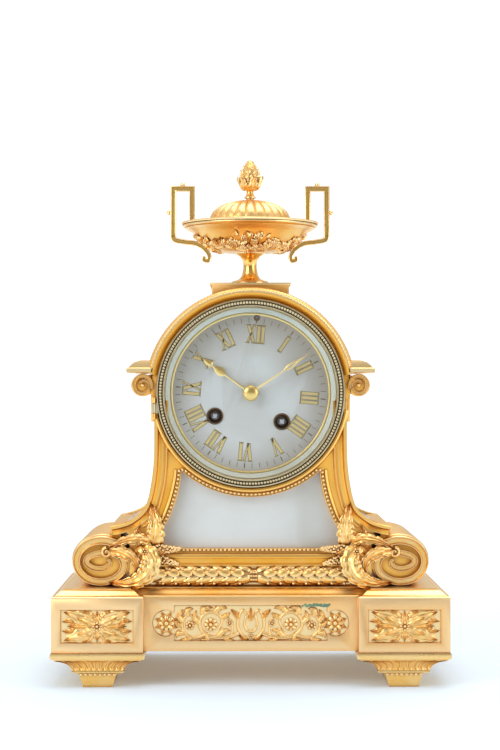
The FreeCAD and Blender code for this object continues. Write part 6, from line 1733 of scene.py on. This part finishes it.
class CLOCK_OT_cornice(bpy.types.Operator):
    """Runs the cornice over the arch and the wings and casts its row of leaves"""

    bl_idname = "clock.cornice"
    bl_label = "Cornice"

    def execute(self, context):
        front, back = CORNICE_LOW.y, CORNICE_HIGH.y
        outer = ARCH_TOP_RADIUS
        half = [(66.25, front + 0.6), (66.4, front), (67.1, front), (67.1, front + 0.6),
                (68.2, front + 0.8), (69.2, front + 1.7), (outer, front + 3.2)]
        rear = [(radius, front + back - y) for radius, y in half]
        outline = half + list(reversed(rear))
        hollow = [(66.25, BODY_FRONT - 0.1), (62.9, BODY_FRONT - 0.1), (63.0, front + 4.2),
                  (63.4, front + 3.0), (64.2, front + 1.8), (65.3, front + 1.0), (66.25, front + 0.7)]
        cove = turned(hollow, 132, (0, DIAL_Z), ARCH_START, ARCH_END, along_y=True)
        behind = [(66.25, BODY_BACK + 0.1), (62.9, BODY_BACK + 0.1), (64.2, back - 1.0),
                  (66.25, back - 0.3)]
        cove.merge(turned(behind, 132, (0, DIAL_Z), ARCH_START, ARCH_END, along_y=True))
        # The cove takes the brighter copy of the gilt, painted light for the concave cove.
        gild(mesh_object("cornice_cove", cove, 30.0), "cove_gilt")
        shape = turned(outline, 132, (0, DIAL_Z), ARCH_START, ARCH_END, along_y=True)
        levels = [(CORNICE_WING_Z, 80.9, 0.9), (CORNICE_WING_Z + 0.4, 81.7, 0.0),
                  (CORNICE_WING_Z + 3.0, 81.7, 0.0), (CORNICE_WING_Z + 3.4, 81.2, 0.5),
                  (CORNICE_WING_Z + 3.6, 80.2, 1.0), (CORNICE_WING_Z + 5.0, 79.2, 1.4),
                  (CORNICE_WING_Z + 7.0, 76.6, 2.2), (CORNICE_WING_Z + 8.4, 72.0, 3.0)]
        rings = []
        for z, x, inset in levels:
            inner = max(64.2, math.sqrt(max(0.0, 66.4**2 - (z - DIAL_Z) ** 2)))
            rings.append([(inner, front + inset, z), (x, front + inset, z), (x, back - inset, z),
                          (inner, back - inset, z)])
        shape.merge(Shape().loft(rings).mirrored())
        gild(mesh_object("cornice_casting", shape, 26.0), "satin_gilt", "cornice")
        tongue = leaf([(-1.9, 0, -0.1), (0, 0, 0.1), (1.9, 0, -0.1)], 1.2, Vector((0, 0, 1)), 1, 0.35,
                      0.25, 0.3, 4, 6)
        places = []
        for y, forward in ((front + 1.5, -1), (back - 1.5, 1)):
            for step in range(ARCH_LEAVES):
                angle = math.radians(16.0 + 148.0 * step / (ARCH_LEAVES - 1))
                radial = Vector((math.cos(angle), 0, math.sin(angle)))
                normal = (radial + Vector((0, forward * 0.85, 0))).normalized()
                place = Vector((0, y, DIAL_Z)) + radial * (outer - 1.5)
                along = (Vector((0, -forward, 0)) + radial * 0.7).normalized()
                matrix = Matrix((along, normal.cross(along), normal)).transposed().to_4x4()
                places.append(Matrix.Translation(place) @ matrix)
        for step in range(ARCH_LEAVES):
            angle = math.radians(16.0 + 148.0 * step / (ARCH_LEAVES - 1))
            radial = Vector((math.cos(angle), 0, math.sin(angle)))
            along = Vector((0, 1, 0))
            matrix = Matrix((along, radial.cross(along), radial)).transposed().to_4x4()
            for y in (front + 5.0, back - 5.0):
                places.append(Matrix.Translation(Vector((0, y, DIAL_Z)) + radial * (outer - 0.35)) @ matrix)
        strew("cornice_leaves", tongue, places, "chased_gilt")
        return {"FINISHED"}


# ---------------------------------------------------------------- the urn
def fluted_lid(profile, petals, steps):
    """A turned lid whose crown is cut into petals between two levels."""
    rings = []
    for radius, z, cut in profile:
        ring = []
        for step in range(steps):
            angle = math.tau * step / steps
            wave = abs(math.cos(petals * angle / 2)) ** 0.6
            ring.append((radius * math.cos(angle), radius * math.sin(angle), z - cut * (1.0 - wave)))
        rings.append(ring)
    return Shape().loft(rings)


def cone_radius(share):
    """The cone's radius at a share of its height: full near its foot, then drawn in to a soft point."""
    return 0.4 + 6.0 * math.sin(math.pi * (0.28 + 0.70 * share)) ** 0.9


def cone_shape(scales, low, high):
    """The finial: a calyx of leaves and a cone of scales set in a spiral."""
    shape = Shape()
    height = high - low
    core = [(0.0, low + height * 0.3)]
    for step in range(17):
        share = step / 16
        core.append((cone_radius(share), low + height * (0.30 + 0.69 * share)))
    core += [(0.0, high - height * 0.01)]
    stem = [(0.0, low), (3.9, low), (3.9, low + 0.8), (3.0, low + 1.6), (2.4, low + 3.0), (2.3, low + 4.6),
            (3.6, low + 5.6), (3.2, low + 6.3), (4.4, low + 7.4), (5.6, low + 9.6), (0.0, low + 11.0)]
    shape.merge(turned(stem, 36))
    shape.merge(turned(core, 40))
    scale = leaf([(0, 0, -1.5), (0, -0.5, 0), (0, -1.0, 1.7)], 1.45, FORWARD, 1, 0.8, 0.1, 0.5, 4, 6)
    for index in range(scales):
        share = (index + 0.5) / scales
        matrix = Matrix.Rotation(index * GOLDEN_ANGLE, 4, "Z")
        matrix = matrix @ Matrix.Translation((0, -cone_radius(share) + 0.3,
                                              low + height * (0.34 + 0.62 * share)))
        lean = Matrix.Rotation(math.radians(-10 + 56 * max(0.0, share - 0.3)), 4, "X")
        shape.merge(scale, matrix @ lean @ Matrix.Scale(1.1 - 0.45 * share, 4))
    for index in range(6):
        turn = Matrix.Rotation(math.tau * index / 6 + 0.3, 4, "Z")
        points = [(0, -2.6, low + 5.6), (0, -5.4, low + 7.4), (0, -7.4, low + 11.6), (0, -8.9, low + 15.2)]
        shape.merge(leaf(points, 3.4, Vector((0, -0.7, -0.7)), 3, 0.9, 0.4, 0.6, 6, 10), turn)
    return shape


def handle_shape(section):
    """The right-hand handle's square loop and scrolled foot, from a section of (out, y) points."""
    loop = [(39.9, BOWL_HIGH.z - 1.0), (39.9, HANDLE_TOP - 1.9), (52.9, HANDLE_TOP - 1.9),
            (52.9, HANDLE_TOP - 34.6)]
    shape = swept(loop, section)
    tail = [(52.9, 34.2), (51.6, 37.2), (45.0, 38.6), (36.8, 39.8), (30.8, 43.6), (28.0, 48.2),
            (28.8, 51.4), (31.6, 51.0), (31.4, 48.6)]
    points = curve_through([(x, 0, HANDLE_TOP - drop) for x, drop in tail], 7)
    rings = []
    for index, point in enumerate(points):
        share = index / (len(points) - 1)
        ahead = (points[min(index + 1, len(points) - 1)] - points[max(index - 1, 0)]).normalized()
        across = Vector((-ahead.z, 0, ahead.x))
        slim = 1.0 - 0.37 * share
        rings.append([point + across * (out * slim) + Vector((0, y, 0)) for out, y in section])
    return shape.merge(Shape().loft(rings))


def handle_section(half, border, depth):
    """A square bar's section: a channel sunk in its front and back between rounded borders."""
    reach = half - border / 2
    floor = half - depth
    edge = half - border - 0.12

    def rounded(x, y, start):
        turns = [start - math.pi * step / 4 for step in range(5)]
        return [(x + border / 2 * math.cos(turn), y + border / 2 * math.sin(turn)) for turn in turns]

    front = rounded(reach, -reach, 0.0) + [(edge, -floor), (-edge, -floor)] + rounded(-reach, -reach, 0.0)
    back = rounded(-reach, reach, math.pi) + [(-edge, floor), (edge, floor)] + rounded(reach, reach,
            math.pi)
    return front + back


class CLOCK_OT_urn(bpy.types.Operator):
    """Turns the urn, flutes its lid, and adds the cone, the handles and the garland of flowers"""

    bl_idname = "clock.urn"
    bl_label = "Urn"

    def execute(self, context):
        base, rim, top = BOWL_LOW.z, BOWL_HIGH.z, LID_HIGH.z
        socle_low, socle_high = span("urn_socle")
        z0, z1 = socle_low.z, socle_high.z
        wide = (socle_high.x - socle_low.x) / 2
        profile = [(ROD_HOLE, z0), (wide, z0), (wide, z0 + 1.6), (wide - 0.9, z0 + 2.0),
                   (wide - 1.2, z0 + 2.6)]
        for step in range(1, 8):
            share = step / 8
            profile.append((wide - 1.2 - (wide - 6.4) * math.sin(share * math.pi / 2),
                            z0 + 2.6 + 6.4 * (1 - math.cos(share * math.pi / 2))))
        profile += [(4.8, z0 + 10.4), (4.5, z0 + 12.0), (4.6, z0 + 14.6)]
        profile += [(5.2, z0 + 17.0), (7.0, z1 - 2.6), (9.6, z1 - 1.0), (10.6, z1 - 0.6), (10.8, z1),
                    (ROD_HOLE, z1)]
        gild(mesh_object("socle_turned", turned(profile, 96), 34.0), "burnished_gilt", "urn_socle")
        outside = [(12.0, 0.0), (16.5, 0.15), (20.5, 0.9), (26.0, 3.0), (31.2, 5.9), (35.4, 9.6),
                   (38.4, 13.2), (40.2, 14.4), (43.0, 15.7), (44.8, 16.8), (44.5, 17.3), (45.6, 17.6),
                   (46.5, 18.3), (46.5, 18.9), (45.7, 19.1), (46.9, 19.4), (47.2, 20.1), (46.8, 20.8)]
        inside = [(44.8, 20.8), (44.4, 19.6), (38.6, 16.6), (34.0, 11.6), (29.0, 7.6), (20.0, 3.2),
                  (12.0, 2.2), (ROD_HOLE, 2.2), (ROD_HOLE, 0.0)]
        limit = rim - base
        profile = [(radius, base + min(height, limit)) for radius, height in outside + inside]
        bowl = turned(profile, 144)
        gild(mesh_object("bowl_turned", bowl, 40.0), "satin_gilt", "urn_bowl")
        low = LID_LOW.z
        crown = [(43.0, low, 0.0), (43.6, low + 0.5, 0.0), (43.6, low + 1.1, 0.0), (42.8, low + 1.6, 0.0),
                 (36.0, low + 2.2, 0.0), (31.0, low + 2.6, 0.0), (30.6, low + 3.2, 0.0),
                 (29.6, low + 3.5, 0.0), (28.6, low + 3.2, 0.0), (28.2, low + 3.8, 0.7),
                 (27.8, low + 6.6, 1.5), (25.8, low + 10.6, 1.9), (22.0, low + 13.8, 1.9),
                 (16.8, low + 16.2, 1.6), (11.6, low + 17.6, 1.1), (7.4, low + 18.2, 0.5),
                 (3.4, low + 18.4, 0.0), (2.7, low + 18.9, 0.0), (2.7, top - 0.5, 0.0), (3.4, top, 0.0)]
        lid = fluted_lid(crown, 24, 288)
        gild(mesh_object("lid_fluted", lid, 38.0), "relief_gilt", "urn_lid")
        rope = [(33.6 * math.cos(a), 33.6 * math.sin(a), low + 2.5)
                for a in [math.tau * step / 120 for step in range(120)]]
        beads = string_beads("lid_beads", rope, 0.8, 1.7, finish("chased_gilt"), closed=True)
        gild(beads, "chased_gilt")
        cone = cone_shape(context.scene.clock_ornament.cone_scales, FINIAL_LOW.z, FINIAL_HIGH.z)
        gild(mesh_object("cone_finial", cone, 45.0), "chased_gilt", "finial")
        handles = handle_shape(handle_section(1.9, 0.8, 0.9))
        for place in ((46.4, 0, HANDLE_TOP + 0.9), (55.9, 0, HANDLE_TOP - 18.4)):
            handles.merge(ball(1.6, 16, 8), Matrix.Translation(place))
        handles.mirrored()
        # The channels take the darker gilt: painted shade on a matt finish.
        sunk = [(0.9, 1.12), (0.9, -1.12), (-0.9, -1.12), (-0.9, 1.12)]
        channel = mesh_object("handle_channels", handle_shape(sunk).mirrored(), 34.0)
        gild(channel, "dull_gilt")
        gild(mesh_object("square_handles", handles, 34.0), "burnished_gilt", "urn_handles")
        self.garland(base, context.scene.clock_ornament.seed)
        return {"FINISHED"}

    def garland(self, base, seed):
        chance = random.Random(seed)
        outside = [(22.0, 1.4), (26.0, 3.0), (31.2, 5.9), (35.4, 9.6), (37.4, 12.0)]
        flowers, leaves = [], []
        blade = leaf([(0, 0, 0), (2.4, 0, 0.8), (5.0, 0, 0.1)], 1.5, Vector((0, 0, 1)), 3, 0.7, 0.25, 0.4,
                     5, 8)
        for index in range(96):
            angle = math.tau * index / 96
            swag = math.cos(4 * angle)
            spread = 0.28 + 0.2 * swag
            for _ in range(4):
                share = min(0.98, max(0.02, 0.42 + chance.uniform(-spread, spread)))
                span_at = share * (len(outside) - 1)
                step = int(span_at)
                part = span_at - step
                radius = outside[step][0] + (outside[step + 1][0] - outside[step][0]) * part
                height = outside[step][1] + (outside[step + 1][1] - outside[step][1]) * part
                slope = Vector((outside[step + 1][0] - outside[step][0],
                                outside[step + 1][1] - outside[step][1])).normalized()
                normal = Vector((math.cos(angle) * slope.y, math.sin(angle) * slope.y, -slope.x))
                place = Vector((radius * math.cos(angle), radius * math.sin(angle), base + height))
                size = chance.uniform(0.8, 1.3)
                if chance.random() < 0.36:
                    flowers.append(facing(place + normal * 0.3, normal, chance.uniform(0, 6.28), size))
                else:
                    leaves.append(facing(place, normal, chance.uniform(0, 6.28), size))
        strew("garland_flowers", blossom(6, 2.2, 1.3), flowers, "chased_gilt")
        strew("garland_leaves", blade, leaves, "chased_gilt")


# ---------------------------------------------------------------- the panel and the run
OPERATORS = (
    CLOCK_OT_stage,
    CLOCK_OT_movement,
    CLOCK_OT_casework,
    CLOCK_OT_dial,
    CLOCK_OT_hands,
    CLOCK_OT_bezel,
    CLOCK_OT_feet,
    CLOCK_OT_plinth,
    CLOCK_OT_mouldings,
    CLOCK_OT_laurel,
    CLOCK_OT_corners,
    CLOCK_OT_scrolls,
    CLOCK_OT_cornice,
    CLOCK_OT_urn,
)
GROUPS = (ClockFinish, ClockOrnament, ClockStage)


class CLOCK_PT_panel(bpy.types.Panel):
    """The clock's sizes, colours and steps"""

    bl_idname = "CLOCK_PT_panel"
    bl_label = "Mantel Clock"
    bl_space_type = "VIEW_3D"
    bl_region_type = "UI"
    bl_category = "Mantel Clock"

    def draw(self, context):
        scene = context.scene
        for group in (scene.clock_finish, scene.clock_ornament, scene.clock_stage):
            box = self.layout.box()
            for name in group.__annotations__:
                box.prop(group, name)
        for operator in OPERATORS:
            self.layout.operator(operator.bl_idname)


def register():
    for group in GROUPS:
        bpy.utils.register_class(group)
    for operator in OPERATORS:
        bpy.utils.register_class(operator)
    bpy.utils.register_class(CLOCK_PT_panel)
    bpy.types.Scene.clock_finish = bpy.props.PointerProperty(type=ClockFinish)
    bpy.types.Scene.clock_ornament = bpy.props.PointerProperty(type=ClockOrnament)
    bpy.types.Scene.clock_stage = bpy.props.PointerProperty(type=ClockStage)


def unregister():
    del bpy.types.Scene.clock_stage
    del bpy.types.Scene.clock_ornament
    del bpy.types.Scene.clock_finish
    bpy.utils.unregister_class(CLOCK_PT_panel)
    for operator in reversed(OPERATORS):
        bpy.utils.unregister_class(operator)
    for group in reversed(GROUPS):
        bpy.utils.unregister_class(group)


def main():
    register()
    for operator in OPERATORS:
        family, step = operator.bl_idname.split(".")
        getattr(getattr(bpy.ops, family), step)()


if __name__ == "__main__":
    main()
